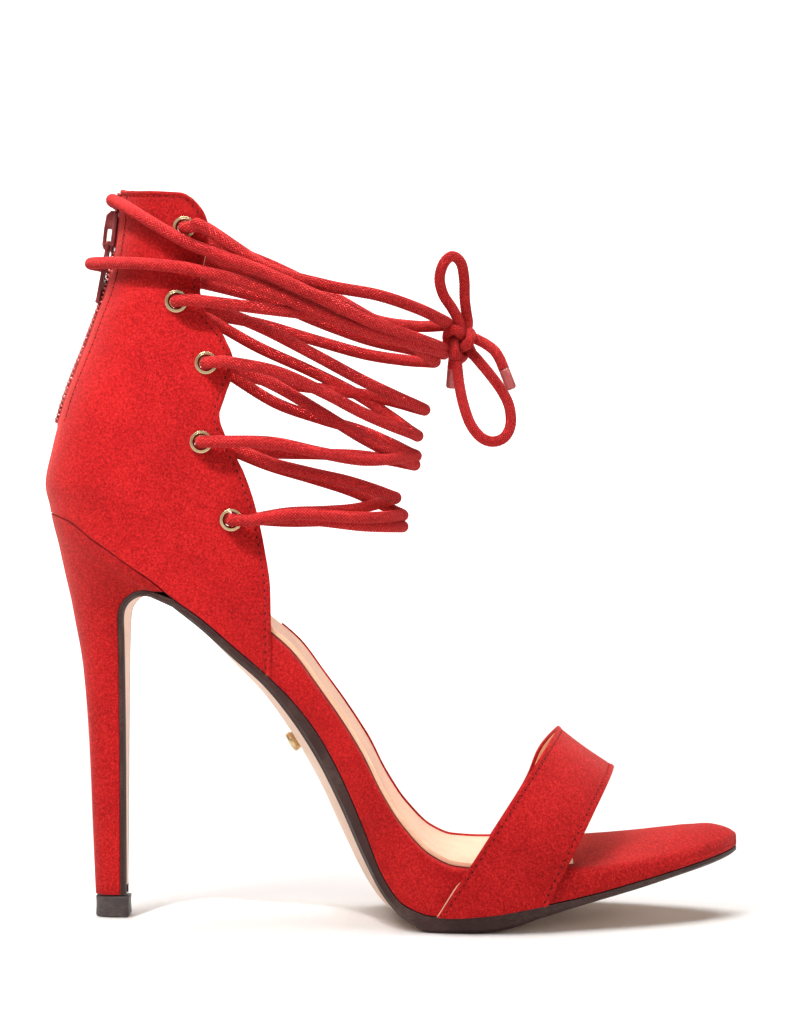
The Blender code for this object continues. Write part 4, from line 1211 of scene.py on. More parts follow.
def toe_strap():
    """Suede strap with two stitched edges, and the pale lining that shows at its cut edge."""
    def place(i, j):
        angle, offset, width = strap_cell(i, j)
        return strap_point(offset / width, angle)

    def lift(i, j):
        _, offset, width = strap_cell(i, j)
        return fold_relief(min(offset, width - offset)) * STRAP_FOLD_SHARE + strap_dents(place(i, j))

    def lining_place(i, j):
        angle, offset, width = strap_cell(i, j)
        foot = strap_point(0.0, angle)
        shows = 1.0 - ease(foot.z, *STRAP_CUT_Z) if foot.y < 0.0 else 0.0
        rear = STRAP_LINING_IN - (STRAP_LINING_IN + STRAP_CUT) * shows
        inset = rear + (width - rear - STRAP_LINING_IN) * offset / width
        return strap_point(inset / width, angle)

    outside = surface(STRAP_COLUMNS, STRAP_STEPS, place, lift)
    inside = surface(STRAP_COLUMNS, STRAP_STEPS, lining_place)
    sink(inside, STRAP_SUEDE + LINING_GAP)
    suede = add_piece("strap_suede", outside, SUEDE, ["toe_strap"])
    thicken(suede, STRAP_SUEDE, rounding=0.4)
    lining = add_piece("strap_lining", inside, LINING)
    thicken(lining, STRAP_LINING, rounding=0.15)


# Stitching


THREAD_SUNK = FOLD_PULL - 0.06
ZIP_SEAM_RISE = FOLD_PULL * 1.2
STRAP_SEAM_RISE = FOLD_PULL * 0.2
SEAM_FOOT_COLUMN = 6
SEAM_FOOT = 1.5
SEAM_REACH = 0.4
FRONT_SEAM_POINTS = 160
COLLAR_SEAM_POINTS = 30
ZIP_SEAM_POINTS = 60
STRAP_SEAM_ANGLE = 0.01
STRAP_SEAM_SHARE = 0.02


def stitch_row(thread, hole_shades, points, normals):
    """Lays stitches along a seam: a thread bead each pitch and, between two of them, a dark blob that paints
    the shade in a needle hole.
    """
    line = np.asarray(points, float)
    lengths = arc_lengths(line)
    outs = np.asarray(normals, float)
    count = int(lengths[-1] / STITCH_PITCH)

    def at(values, stop):
        return Vector([np.interp(stop, lengths, values[:, axis]) for axis in range(3)])

    def seam_matrix(stop, size, depth):
        out = at(outs, stop).normalized()
        tangent = (at(line, stop + SEAM_REACH) - at(line, stop - SEAM_REACH)).normalized()
        tangent = (tangent - out * tangent.dot(out)).normalized()
        axes = Matrix((tangent, out.cross(tangent), out)).transposed().to_4x4()
        return Matrix.Translation(at(line, stop) - out * depth) @ axes @ Matrix.Diagonal((*size, 1.0))

    for k in range(count):
        middle = STITCH_PITCH * (k + 0.5)
        bmesh.ops.create_icosphere(thread, subdivisions=2, radius=0.5,
                                   matrix=seam_matrix(middle, STITCH_SIZE, THREAD_SUNK))
        # Dark blob sunk in the suede: painted shade in the needle hole
        bmesh.ops.create_icosphere(hole_shades, subdivisions=1, radius=0.5,
                                   matrix=seam_matrix(STITCH_PITCH * k, STITCH_HOLE_SHADE, FOLD_PULL))


def counter_normal(x, z, side):
    return counter_frame(x, z, side).col[2].to_3d()


def back_seams():
    """Seams of the closed back, side by side: along front edge and collar, and beside the zip."""
    for side, set_back in ((-1.0, 0.0), (1.0, INNER_SET_BACK)):
        seam = []
        foot = counter_foot(SIDE_COLUMNS - SEAM_FOOT_COLUMN, set_back) + SEAM_FOOT
        for z in np.linspace(foot, COLLAR_Z - STITCH_IN, FRONT_SEAM_POINTS):
            arc = counter_reach(z) - set_back - STITCH_IN * edge_slant(z)
            if z < collar_height(arc) - STITCH_IN:
                seam.append((z, arc))
        for arc in np.linspace(seam[-1][1], ZIP_SLOT + STITCH_IN, COLLAR_SEAM_POINTS)[1:]:
            seam.append((collar_height(arc) - STITCH_IN, arc))
        heights = np.linspace(seam[-1][0] - STITCH_IN, ZIP_BOTTOM_Z, ZIP_SEAM_POINTS)
        zip_side = [(z, ZIP_SLOT + ZIP_STITCH_IN) for z in heights]
        for row, rise in ((seam, 0.0), (zip_side, ZIP_SEAM_RISE)):
            points, normals = [], []
            for z, arc in row:
                x, y = counter_at(z, arc)
                out = counter_normal(x, min(z, COLLAR_Z - 1.0), side)
                relief = crease_relief(CREASES, x, z) if side < 0.0 else 0.0
                points.append(Vector((x, y * side, z)) + out * (relief + rise))
                normals.append(out)
            yield points, normals


def strap_seams():
    for rear in (True, False):
        points, normals = [], []
        for row in range(1, STRAP_STEPS):
            angle = strap_angle(row)
            share = STITCH_IN / strap_width(angle)
            across = share if rear else 1.0 - share
            point = strap_point(across, angle)
            ahead = (strap_point(across, angle + STRAP_SEAM_ANGLE)
                     - strap_point(across, angle - STRAP_SEAM_ANGLE))
            aside = (strap_point(across + STRAP_SEAM_SHARE, angle)
                     - strap_point(across - STRAP_SEAM_SHARE, angle))
            out = ahead.cross(aside).normalized()
            points.append(point + out * (strap_dents(point) + STRAP_SEAM_RISE))
            normals.append(out)
        yield points, normals


def stitching():
    for name, seams in (("back", back_seams()), ("strap", strap_seams())):
        thread, hole_shades = bmesh.new(), bmesh.new()
        for points, normals in seams:
            stitch_row(thread, hole_shades, points, normals)
        add_piece(f"{name}_stitches", thread, THREAD)
        add_piece(f"{name}_needle_hole_shades", hole_shades, HOLE_SHADE)


# Eyelets, zip and stud


# Profile of an eyelet as radius and height: barrel, double rim outside and rolled rim inside
EYELET_PROFILE = ((2.12, -2.5), (EYELET_HOLE, -0.8), (2.34, 0.25), (2.44, 0.72), (2.56, 0.90), (2.68, 0.74),
                  (2.74, 0.36), (2.86, 0.36), (2.98, 0.72), (3.14, 0.82), (3.30, 0.68), (3.42, 0.05),
                  (2.5, 0.02), (2.42, -2.2), (3.0, -2.25), (3.2, -2.45), (3.0, -2.7), (2.5, -2.75))


def eyelets():
    for name, place in eyelet_places():
        add_piece(f"eyelet_ring_{name}", spun(EYELET_PROFILE), GOLD, [f"eyelet_{name}"],
                  matrix=TO_PART @ place)


def zip_frame(z):
    """Frame on the centre-back line: local X points backwards out of the zip, local Z up along it."""
    lower = counter_row("back", z - ZIP_REACH)
    upper = counter_row("back", z + ZIP_REACH)
    up = Vector((upper - lower, 0.0, 2 * ZIP_REACH)).normalized()
    out = Vector((-up.z, 0.0, up.x))
    axes = Matrix((out, up.cross(out), up)).transposed().to_4x4()
    return Matrix.Translation((counter_row("back", z), 0.0, z)) @ axes


TAPE_COLUMNS = 16
TAPE_ROWS = 60
ZIP_TOP_Z = 217.0
ZIP_TAPE_TAIL = 3.0
TEETH_FOOT = 0.3
TOOTH_PITCH = 1.35
TOOTH_HALF_HEIGHT = 0.46
TOOTH_LOW = (-1.0, -0.55, -TOOTH_HALF_HEIGHT)
TOOTH_HIGH = (1.35, ZIP_TEETH, TOOTH_HALF_HEIGHT)
TOOTH_BEVEL = 0.28
BEAD_RADIUS = 0.75
BEAD_OUT = -1.7
BEAD_Y = 1.9
BEAD_SIDES = 10


def zip_tape():
    """Woven tape behind the slot, bowed with the upper, and its two rows of teeth."""
    heights = np.linspace(ZIP_BOTTOM_Z - ZIP_TAPE_TAIL, ZIP_TOP_Z, TAPE_ROWS + 1)

    def place(i, j):
        y = ZIP_TAPE * (2 * i / TAPE_COLUMNS - 1)
        behind = -WALL - ZIP_TAPE_GAP - y ** 2 / (2 * ZIP_TAPE_BOW_RADIUS)
        return zip_frame(heights[j]) @ Vector((behind, y, 0.0))

    sheet = surface(TAPE_COLUMNS, TAPE_ROWS, place, uv_size=(2 * ZIP_TAPE, heights[-1] - heights[0]))
    tape = add_piece("zip_cloth", sheet, ZIP_CLOTH, ["zip_tape"])
    thicken(tape, ZIP_TAPE_THICKNESS, rounding=0.15)
    teeth = bmesh.new()
    foot = ZIP_BOTTOM_Z + TEETH_FOOT
    count = int((ZIP_TOP_Z - foot) / TOOTH_PITCH)
    for k in range(2 * count):
        side = 1.0 if k % 2 else -1.0
        z = foot + TOOTH_PITCH * (k + 1) / 2
        if abs(z - SLIDER_Z) < SLIDER_LENGTH / 2:
            continue
        verts = box(teeth, TOOTH_LOW, TOOTH_HIGH, TOOTH_BEVEL, segments=1)
        mirror = Matrix.Diagonal((1.0, side, 1.0, 1.0))
        bmesh.ops.transform(teeth, matrix=zip_frame(z) @ mirror, verts=verts)
    bmesh.ops.recalc_face_normals(teeth, faces=teeth.faces)
    sharpen(add_piece("zip_teeth", teeth, TOOTH_METAL), degrees=50.0)
    beads = []
    for side in (-1.0, 1.0):
        line = [zip_frame(z) @ Vector((BEAD_OUT, side * BEAD_Y, 0.0)) for z in heights]
        beads.append(sweep(line, BEAD_RADIUS, BEAD_SIDES))
    add_piece("zip_bead", join(beads), ZIP_CLOTH)


# Crown of the slider: how far it reaches out by height, with a window from the third to the fourth row
CROWN = table(
    "up reach",
    (-6.1, 2.9),
    (-5.5, 4.0),
    (-4.4, 4.45),
    (0.6, 4.45),
    (4.6, 4.2),
    (6.1, 2.9),
)
CROWN_WINDOW_ROW = 2
CROWN_HALF_WIDTH = 1.25
CROWN_WALL = 1.05
CROWN_FOOT = SLIDER_PLATE[0] + 0.3
SLIDER_TAPER = 0.86
GUIDE_FOOT = 0.45
GUIDE_HALF_WIDTH = 0.45
GUIDE_ENDS = (-0.75, 0.8)


def zip_slider():
    """Slider: a plate that narrows downwards, two guide walls and the crown that holds the pull tab."""
    half, wide = SLIDER_LENGTH / 2, SLIDER_WIDTH / 2

    def place(i, j):
        row = CROWN[j]
        out = (CROWN_FOOT, SLIDER_PLATE[1], row.reach - CROWN_WALL, row.reach)[i]
        return out, -CROWN_HALF_WIDTH, row.up

    bm = surface(3, len(CROWN) - 1, place)
    window = [face for face in bm.faces if CROWN[CROWN_WINDOW_ROW].up < face.calc_center_median().z
              < CROWN[CROWN_WINDOW_ROW + 1].up]
    window.sort(key=lambda face: face.calc_center_median().x)
    bmesh.ops.delete(bm, geom=[window[1]], context="FACES_ONLY")
    push_out(bm, (0.0, 2 * CROWN_HALF_WIDTH, 0.0))
    plate = box(bm, (SLIDER_PLATE[0], -wide, -half), (SLIDER_PLATE[1], wide, half), bevel=0.4, segments=3)
    for vert in plate:
        vert.co.y *= SLIDER_TAPER + (1.0 - SLIDER_TAPER) * (vert.co.z + half) / SLIDER_LENGTH
    for y in (-wide, wide):
        box(bm, (GUIDE_FOOT, y - GUIDE_HALF_WIDTH, half * GUIDE_ENDS[0]),
            (SLIDER_PLATE[1], y + GUIDE_HALF_WIDTH, half * GUIDE_ENDS[1]), bevel=0.3, segments=2)
    piece = add_piece("slider_body", bm, ZIP_METAL, ["zip_slider"],
                      matrix=TO_PART @ zip_frame(SLIDER_Z))
    round_edges(piece, width=0.35, segments=3)


# Grid of the tab: its eye is the middle cell of the second row, its panel that of the fourth
TAB_ACROSS = (-2.6, -1.62, 1.62, 2.6)
TAB_DOWN = (0.55, -0.55, -4.2, -6.4, -15.4, -16.6, -TAB_LENGTH)
TAB_WIDEN = (0.86, 1.0, 1.0, 0.92, 1.04, 1.04, 0.82)
TAB_EYE = 1
TAB_PANEL = 3
PANEL_RIM = 0.45
PANEL_DEPTH = 0.22
LIP_PROUD = 0.18
LIP_HALF_WIDTH = 2.2
LIP_HEIGHT = 1.5


def pull_tab():
    """Flat tab with an eye for the crown, a sunk panel and a thick lip at its end."""
    def place(i, j):
        return TAB_THICKNESS / 2, TAB_ACROSS[i] * TAB_WIDEN[j], TAB_DOWN[j]

    def middle_cells(row):
        bm.normal_update()
        found = []
        for face in bm.faces:
            centre = face.calc_center_median()
            flat = abs(face.normal.x) > 0.9
            if flat and abs(centre.y) < TAB_ACROSS[2] / 2 and TAB_DOWN[row + 1] < centre.z < TAB_DOWN[row]:
                found.append(face)
        return found

    bm = surface(len(TAB_ACROSS) - 1, len(TAB_DOWN) - 1, place)
    bmesh.ops.recalc_face_normals(bm, faces=bm.faces)
    bmesh.ops.delete(bm, geom=middle_cells(TAB_EYE), context="FACES_ONLY")
    push_out(bm, (-TAB_THICKNESS, 0.0, 0.0))
    bmesh.ops.inset_individual(bm, faces=middle_cells(TAB_PANEL), thickness=PANEL_RIM, depth=-PANEL_DEPTH)
    lip_out = TAB_THICKNESS / 2 + LIP_PROUD
    box(bm, (-lip_out, -LIP_HALF_WIDTH, -TAB_LENGTH), (lip_out, LIP_HALF_WIDTH, LIP_HEIGHT - TAB_LENGTH),
        bevel=0.3, segments=2)
    lean = Matrix.Rotation(math.radians(TAB_LEAN_DEG), 4, "Y")
    pivot = zip_frame(SLIDER_Z) @ Vector((TAB_PIVOT_OUT, 0.0, TAB_PIVOT_UP))
    piece = add_piece("pull_tab_plate", bm, ZIP_METAL, ["pull_tab"], body="pull_tab",
                      matrix=TO_PART @ Matrix.Translation(pivot) @ lean)
    round_edges(piece, width=0.16, segments=2, degrees=40.0)


# Profile of the stud as radius and height above the sole
STUD_PROFILE = ((0.0, -1.0), (2.7, -1.0), (2.7, 0.5), (2.95, 0.62), (STUD_RADIUS, 0.9), (STUD_RADIUS, 1.75),
                (2.95, 2.1), (2.6, 2.25), (2.35, 2.12), (2.0, 2.18), (1.2, 2.46), (0.0, 2.56))


def arch_stud():
    """Plain round stud on the waist of the sole: a low dome in a rolled rim, on a short shank."""
    def under(x):
        return under_at("under", x) - under_at("belly", x)

    middle = (outline_at("outer", STUD_X) + outline_at("inner", STUD_X)) / 2
    reach = STUD_RADIUS / 2
    slope = math.atan2(under(STUD_X + reach) - under(STUD_X - reach), 2 * reach)
    down = Vector((math.sin(slope), 0.0, -math.cos(slope)))
    seat = Vector((STUD_X, middle, under(STUD_X)))
    place = Matrix.Translation(seat) @ down.to_track_quat("Z", "Y").to_matrix().to_4x4()
    add_piece("arch_stud_cap", spun(STUD_PROFILE), STUD_GOLD, ["arch_stud"],
              matrix=TO_PART @ place)


# Lace


STRAND_RADIUS = 1.74
BOW_RADIUS = 1.58
LACE_SIDES = 24
LACE_RING = 0.5
BRAID_RELIEF = 0.06

# A strand's way out of an eyelet, as steps forward and out from its middle, and its height where it leads off
LEAVE = {
    "out": ((0.0, -0.9), (0.0, 0.2), (0.12, 1.2), (0.7, 2.3), (1.9, 3.1), (3.6, 3.5)),
    "in": ((0.0, -0.9), (0.0, -2.4), (0.12, -3.3), (0.7, -4.3), (1.9, -4.9), (3.6, -5.0)),
}
LEAD_HEIGHT = {"out": 3.7, "in": -5.0}
WRAP_FRONT_SHARE = 0.95

# The knot's turn, and the free lengths' ways into and through it
KNOT_STEPS = 120
KNOT_TURN = (3.9, 3.9, 5.0)
KNOT_SHIFT = (-0.8, 0.0, -1.2)
FROM_KNOT_UPPER = (18.4, -0.4, 174.8)
FROM_KNOT_LOWER = (17.6, -0.2, 170.6)
THROUGH_KNOT_OUTER = ((20.3, 1.0, 175.6), (21.4, -0.6, 173.7))
THROUGH_KNOT_INNER = ((20.6, 2.8, 171.2), (19.6, 4.4, 173.6))

# Profile of an aglet as shares of its radius and length
AGLET_SHEATH = ((0.0, 0.0), (0.98, 0.0), (1.0, 0.12), (1.0, 0.86), (0.9, 0.95), (0.62, 1.0), (0.0, 1.0))


def braid(side, ring):
    return BRAID_RELIEF if (side + ring) % 2 else -BRAID_RELIEF


def lace_tube(points, radius, closed=False):
    return sweep(points, radius, LACE_SIDES, closed, braid)


def strand_half(strand, number, face, side):
    """Points from inside an eyelet's barrel to just before the strand's turn at the front."""
    place = eyelet_frame(number, side)
    points = [place @ Vector((ahead, 0.0, out)) for ahead, out in LEAVE[face]]
    lead = place @ Vector((LACE_LEAD, 0.0, LEAD_HEIGHT[face]))
    for k in range(LACE_STEPS):
        angle = math.pi / 2 * (1 - k / LACE_STEPS)
        share = 1 - math.cos(angle)
        middle = max(math.sin(math.pi * share), 0.0)
        y = math.sin(angle) * (LACE_MIDDLE_Y + (abs(lead.y) - LACE_MIDDLE_Y) * share ** 2)
        y += strand.proud * math.sqrt(middle)
        z = strand.turn_z + (lead.z - strand.turn_z) * share + strand.bow * middle
        z -= side * strand.sway * math.sin(math.tau * share)
        points.append(Vector((strand.turn_x + (lead.x - strand.turn_x) * share, y * side, z)))
    return points


def strand_route(strand):
    turn = Vector((strand.turn_x, 0.0, strand.turn_z))
    outer = strand_half(strand, strand.outer_eyelet, strand.outer_face, -1.0)
    inner = strand_half(strand, strand.inner_eyelet, strand.inner_face, 1.0)
    return smooth_route(outer + [turn] + inner[::-1], LACE_RING)


def wrap_half(wrap):
    """Points of a turn round the ankle, from the centre back to the front, on the inner side."""
    points = []
    for k in range(WRAP_STEPS):
        share = k / WRAP_STEPS
        z = along(wrap.rows, "x", "z", WRAP_BACK_X + (WRAP_LEAVES_X - WRAP_BACK_X) * share ** 2)
        xs, ys = counter_plan(z, -WRAP_CLEAR - WRAP_OVER_EYELET * share ** 2)
        arc = arc_lengths(np.stack((xs, ys), axis=1))
        at = np.interp(WRAP_LEAVES_X, xs, arc) * share
        x, y = float(np.interp(at, arc, xs)), float(np.interp(at, arc, ys))
        x -= wrap.stand_off * math.exp(-(y / WRAP_BULGE_Y) ** 2)
        points.append(Vector((x, y, along(wrap.rows, "x", "z", x))))
    z = along(wrap.rows, "x", "z", WRAP_LEAVES_X)
    leave_y = counter_half_width(WRAP_LEAVES_X, z, -WRAP_CLEAR - WRAP_OVER_EYELET)
    for k in range(LACE_STEPS + 1):
        angle = math.pi / 2 * (1 - WRAP_FRONT_SHARE * k / LACE_STEPS)
        share = 1 - math.cos(angle)
        x = WRAP_FRONT_X + (WRAP_LEAVES_X - WRAP_FRONT_X) * share
        y = leave_y * math.sin(angle) + wrap.proud * math.sqrt(max(math.sin(math.pi * share), 0.0))
        points.append(Vector((x, y, along(wrap.rows, "x", "z", x))))
    return points


def wrap_route(wrap):
    half = wrap_half(wrap)
    return smooth_route(mirrored(half[:0:-1]) + half, LACE_RING)


def lace_levels():
    """The lace between the eyelets, level by level, its ends hidden in the eyelets' barrels."""
    for node, strands in LACE_LEVELS.items():
        routes = [strand_route(strand) for strand in strands]
        if node == "lace_crossing_top":
            routes += [wrap_route(wrap) for wrap in WRAPS]
        tubes = join(lace_tube(route, STRAND_RADIUS) for route in routes)
        add_piece(node.replace("crossing", "strands"), tubes, LACE, [node])


def knot_turns():
    """The knot: one turn of lace over and under itself."""
    points = []
    for k in range(KNOT_STEPS):
        turn = math.tau * k / KNOT_STEPS
        x = (math.sin(turn) + 2 * math.sin(2 * turn)) / 3
        z = (math.cos(turn) - 2 * math.cos(2 * turn)) / 3
        y = -math.sin(3 * turn)
        turned = [value * half for value, half in zip((x, y, z), KNOT_TURN)]
        points.append(Vector(KNOT_CENTRE) + Vector(KNOT_SHIFT) + Vector(turned))
    route = even_route(points + points[:1], LACE_RING)[:-1]
    add_piece("lace_knot_turns", lace_tube(route, BOW_RADIUS, closed=True), LACE, ["lace_knot"])


def aglet(name, ends, node):
    """Clear sheath shrunk on the lace's end."""
    start, end = Vector(ends[0]), Vector(ends[1])
    length = (end - start).length
    profile = [(AGLET_RADIUS * radius, length * share) for radius, share in AGLET_SHEATH]
    place = Matrix.Translation(start) @ (end - start).to_track_quat("Z", "Y").to_matrix().to_4x4()
    return add_piece(name, spun(profile, steps=24), CLEAR_TIP, [node], matrix=TO_PART @ place)


def bow():
    """Two loops with their ends: each is one free length of lace that runs through the knot."""
    lengths = (
        ("lace_bow_upper", (FROM_KNOT_UPPER, *LOOP_UPPER, *THROUGH_KNOT_OUTER, *END_OUTER, AGLET_OUTER[0]),
         ["lace_loop_upper", "lace_end_outer"],
         aglet("aglet_sheath_outer", AGLET_OUTER, "aglet_outer")),
        ("lace_bow_lower", (FROM_KNOT_LOWER, *LOOP_LOWER, *THROUGH_KNOT_INNER, *END_INNER, AGLET_INNER[0]),
         ["lace_loop_lower", "lace_end_inner"],
         aglet("aglet_sheath_inner", AGLET_INNER, "aglet_inner")),
    )
    for name, points, nodes, tip in lengths:
        route = smooth_route(points, LACE_RING)
        path = [TO_PART @ Vector(point) for point in route]
        piece = add_piece(name, lace_tube(route, BOW_RADIUS), LACE, nodes)
        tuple(path[0])


# Finishes


MIX_FIRST, MIX_SECOND, MIX_RESULT = 6, 7, 2


def set_inputs(tree, sockets, inputs):
    """Gives each socket, by name or number, a value or a link from another node's socket."""
    for socket, value in inputs.items():
        if isinstance(value, bpy.types.NodeSocket):
            tree.links.new(value, sockets[socket])
        else:
            sockets[socket].default_value = value


def add_node(tree, kind, inputs=None, **settings):
    made = tree.nodes.new(kind)
    for name, value in settings.items():
        setattr(made, name, value)
    set_inputs(tree, made.inputs, inputs or {})
    return made


def calc(tree, operation, *values):
    return add_node(tree, "ShaderNodeMath", dict(enumerate(values)), operation=operation).outputs[0]


def noise(tree, coordinates, scale, detail=2.0, roughness=0.5):
    inputs = {"Vector": coordinates, "Scale": scale, "Detail": detail, "Roughness": roughness}
    return add_node(tree, "ShaderNodeTexNoise", inputs).outputs[0]


def mapped(tree, coordinates, scale, rotation=(0.0, 0.0, 0.0)):
    inputs = {"Vector": coordinates, "Rotation": rotation, "Scale": scale}
    return add_node(tree, "ShaderNodeMapping", inputs).outputs[0]


def ranged(tree, value, low, high, **settings):
    """0 where a value is low and 1 where it is high."""
    inputs = {"Value": value, "From Min": low, "From Max": high}
    return add_node(tree, "ShaderNodeMapRange", inputs, **settings).outputs[0]


def new_group(name, place, inputs, outputs):
    """A shader node group on a place vector, with numbers as its other sockets.

    Gives its tree, its input sockets and its output sockets."""
    tree = bpy.data.node_groups.new(name, "ShaderNodeTree")
    tree.interface.new_socket(place, in_out="INPUT", socket_type="NodeSocketVector")
    for socket in inputs:
        tree.interface.new_socket(socket, in_out="INPUT", socket_type="NodeSocketFloat")
    for socket in outputs:
        tree.interface.new_socket(socket, in_out="OUTPUT", socket_type="NodeSocketFloat")
    return tree, tree.nodes.new("NodeGroupInput").outputs, tree.nodes.new("NodeGroupOutput").inputs


def nap_group():
    """Brushed nap: a fine grain of fibre ends under slow, cloudy strokes."""
    tree, given, put = new_group("nap", "Coordinates", ["Grain", "Clouds"], ["Shade", "Height"])
    fine = noise(tree, given["Coordinates"], given["Grain"], detail=3.0, roughness=0.65)
    brushed = mapped(tree, given["Coordinates"], (1.0, 0.45, 1.0), (0.3, 0.5, 0.9))
    fibre = noise(tree, brushed, calc(tree, "MULTIPLY", given["Grain"], 0.55), detail=2.0, roughness=0.6)
    cloud = noise(tree, given["Coordinates"], given["Clouds"], detail=3.0, roughness=0.6)
    grains = calc(tree, "ADD", calc(tree, "MULTIPLY", fine, 0.55), calc(tree, "MULTIPLY", fibre, 0.45))
    tree.links.new(grains, put["Height"])
    shade = calc(tree, "ADD", calc(tree, "MULTIPLY", grains, 0.87), calc(tree, "MULTIPLY", cloud, 0.13))
    tree.links.new(ranged(tree, shade, 0.40, 0.60), put["Shade"])
    return tree


def braid_group():
    """Round braid from a UV map that counts turns and rings: yarns that cross on diamonds."""
    tree, given, put = new_group("braid", "UV", ["Yarns"], ["Gap", "Height"])
    split = add_node(tree, "ShaderNodeSeparateXYZ", {0: given["UV"]})
    around = calc(tree, "MULTIPLY", split.outputs[0], given["Yarns"])
    ahead = calc(tree, "MULTIPLY", split.outputs[1], 0.5)
    heights = []
    for operation in ("ADD", "SUBTRACT"):
        turn = calc(tree, "FRACT", calc(tree, operation, around, ahead))
        aside = calc(tree, "MULTIPLY", calc(tree, "ABSOLUTE", calc(tree, "SUBTRACT", turn, 0.5)), 2.0)
        heights.append(calc(tree, "SUBTRACT", 1.0, calc(tree, "POWER", aside, 2.5)))
    whole = calc(tree, "MULTIPLY", *heights)
    fray = noise(tree, given["UV"], 5.0, detail=3.0, roughness=0.7)
    tree.links.new(calc(tree, "ADD", whole, calc(tree, "MULTIPLY", fray, 0.5)), put["Height"])
    tree.links.new(calc(tree, "SUBTRACT", 1.0, whole), put["Gap"])
    return tree


def grain_group():
    """Fine leather grain: small cells with soft creases between them."""
    tree, given, put = new_group("grain", "Coordinates", ["Scale"], ["Shade", "Height"])
    cells = add_node(tree, "ShaderNodeTexVoronoi", {"Vector": given["Coordinates"], "Scale": given["Scale"]},
                     feature="DISTANCE_TO_EDGE")
    broad = calc(tree, "MULTIPLY", given["Scale"], 0.06)
    soft = noise(tree, given["Coordinates"], broad, detail=4.0, roughness=0.6)
    tree.links.new(ranged(tree, cells.outputs["Distance"], 0.0, 0.22), put["Height"])
    tree.links.new(soft, put["Shade"])
    return tree


def scuff_group():
    """Handling marks: patches of short rubbed streaks."""
    tree, given, put = new_group("scuffs", "Coordinates", ["Scale", "Amount"], ["Mask"])
    streaked = mapped(tree, given["Coordinates"], (1.0, 0.25, 2.6))
    streak = noise(tree, streaked, given["Scale"], detail=5.0, roughness=0.7)
    patch = noise(tree, given["Coordinates"], calc(tree, "MULTIPLY", given["Scale"], 0.12), 2.0)
    rubbed = ranged(tree, calc(tree, "MULTIPLY", streak, patch), 0.24, 0.42)
    tree.links.new(calc(tree, "MULTIPLY", rubbed, given["Amount"]), put["Mask"])
    return tree


def weave_group():
    """Plain weave from a UV map in millimetres."""
    tree, given, put = new_group("weave", "UV", ["Threads"], ["Height"])
    split = add_node(tree, "ShaderNodeSeparateXYZ", {0: given["UV"]})
    waves = []
    for axis in (0, 1):
        turn = calc(tree, "MULTIPLY", calc(tree, "MULTIPLY", split.outputs[axis], given["Threads"]), math.pi)
        waves.append(calc(tree, "SINE", turn))
    tree.links.new(calc(tree, "ABSOLUTE", calc(tree, "MULTIPLY", *waves)), put["Height"])
    return tree


GROUPS = {"nap": nap_group(), "braid": braid_group(), "grain": grain_group(), "scuffs": scuff_group(),
          "weave": weave_group()}


def new_finish(name):
    material = bpy.data.materials.new(name)
    material.use_nodes = True
    tree = material.node_tree
    return material, tree, tree.nodes["Principled BSDF"].inputs


def effect(tree, name, **inputs):
    return add_node(tree, "ShaderNodeGroup", inputs, node_tree=GROUPS[name]).outputs


def place_on(tree, kind="Object"):
    return add_node(tree, "ShaderNodeTexCoord").outputs[kind]


def shades(tree, value, *stops):
    """A colour ramp through stops of place and colour."""
    ramp = add_node(tree, "ShaderNodeValToRGB", {0: value})
    elements = ramp.color_ramp.elements
    while len(elements) < len(stops):
        elements.new(0.5)
    for element, (place, colour) in zip(elements, stops):
        element.position = place
        element.color = (*colour, 1.0)
    return ramp.outputs[0]


def mixed(tree, share, first, second):
    inputs = {0: share}
    for socket, colour in ((MIX_FIRST, first), (MIX_SECOND, second)):
        inputs[socket] = colour if isinstance(colour, bpy.types.NodeSocket) else (*colour, 1.0)
    return add_node(tree, "ShaderNodeMix", inputs, data_type="RGBA").outputs[MIX_RESULT]


def bumped(tree, height, strength, distance):
    inputs = {"Height": height, "Strength": strength, "Distance": distance * MM}
    return add_node(tree, "ShaderNodeBump", inputs).outputs[0]


def between(tree, share, low, high):
    return add_node(tree, "ShaderNodeMapRange", {"Value": share, "To Min": low, "To Max": high}).outputs[0]


def suede_finish(name, dark, middle, light, grain):
    material, tree, shader = new_finish(name)
    nap = effect(tree, "nap", Coordinates=place_on(tree), Grain=grain, Clouds=70.0)
    set_inputs(tree, shader, {
        "Base Color": shades(tree, nap["Shade"], (0.0, dark), (0.5, middle), (1.0, light)),
        "Roughness": between(tree, nap["Shade"], 0.95, 0.82),
        "Normal": bumped(tree, nap["Height"], strength=0.55, distance=0.35),
        "Specular IOR Level": 0.2,
        "Sheen Weight": 0.30,
        "Sheen Roughness": 0.45,
        "Sheen Tint": (1.0, 0.30, 0.26, 1.0),
    })
    return material


def lace_finish():
    material, tree, shader = new_finish("lace_red")
    braided = effect(tree, "braid", UV=place_on(tree, "UV"), Yarns=LACE_SIDES / 2)
    nap = effect(tree, "nap", Coordinates=place_on(tree), Grain=2600.0, Clouds=90.0)
    yarn = shades(tree, nap["Shade"], (0.0, (0.42, 0.007, 0.010)), (1.0, (0.90, 0.046, 0.044)))
    # Base colour darkened in the braid's gaps between yarns: painted shade
    gap_shade = calc(tree, "MULTIPLY", braided["Gap"], 0.75)
    height = calc(tree, "ADD", braided["Height"], calc(tree, "MULTIPLY", nap["Height"], 0.6))
    set_inputs(tree, shader, {
        "Base Color": mixed(tree, gap_shade, yarn, (0.22, 0.002, 0.004)),
        "Roughness": between(tree, braided["Gap"], 0.72, 0.95),
        "Normal": bumped(tree, height, strength=0.8, distance=0.30),
        "Specular IOR Level": 0.2,
        "Sheen Weight": 0.09,
        "Sheen Roughness": 0.5,
        "Sheen Tint": (1.0, 0.35, 0.30, 1.0),
    })
    return material


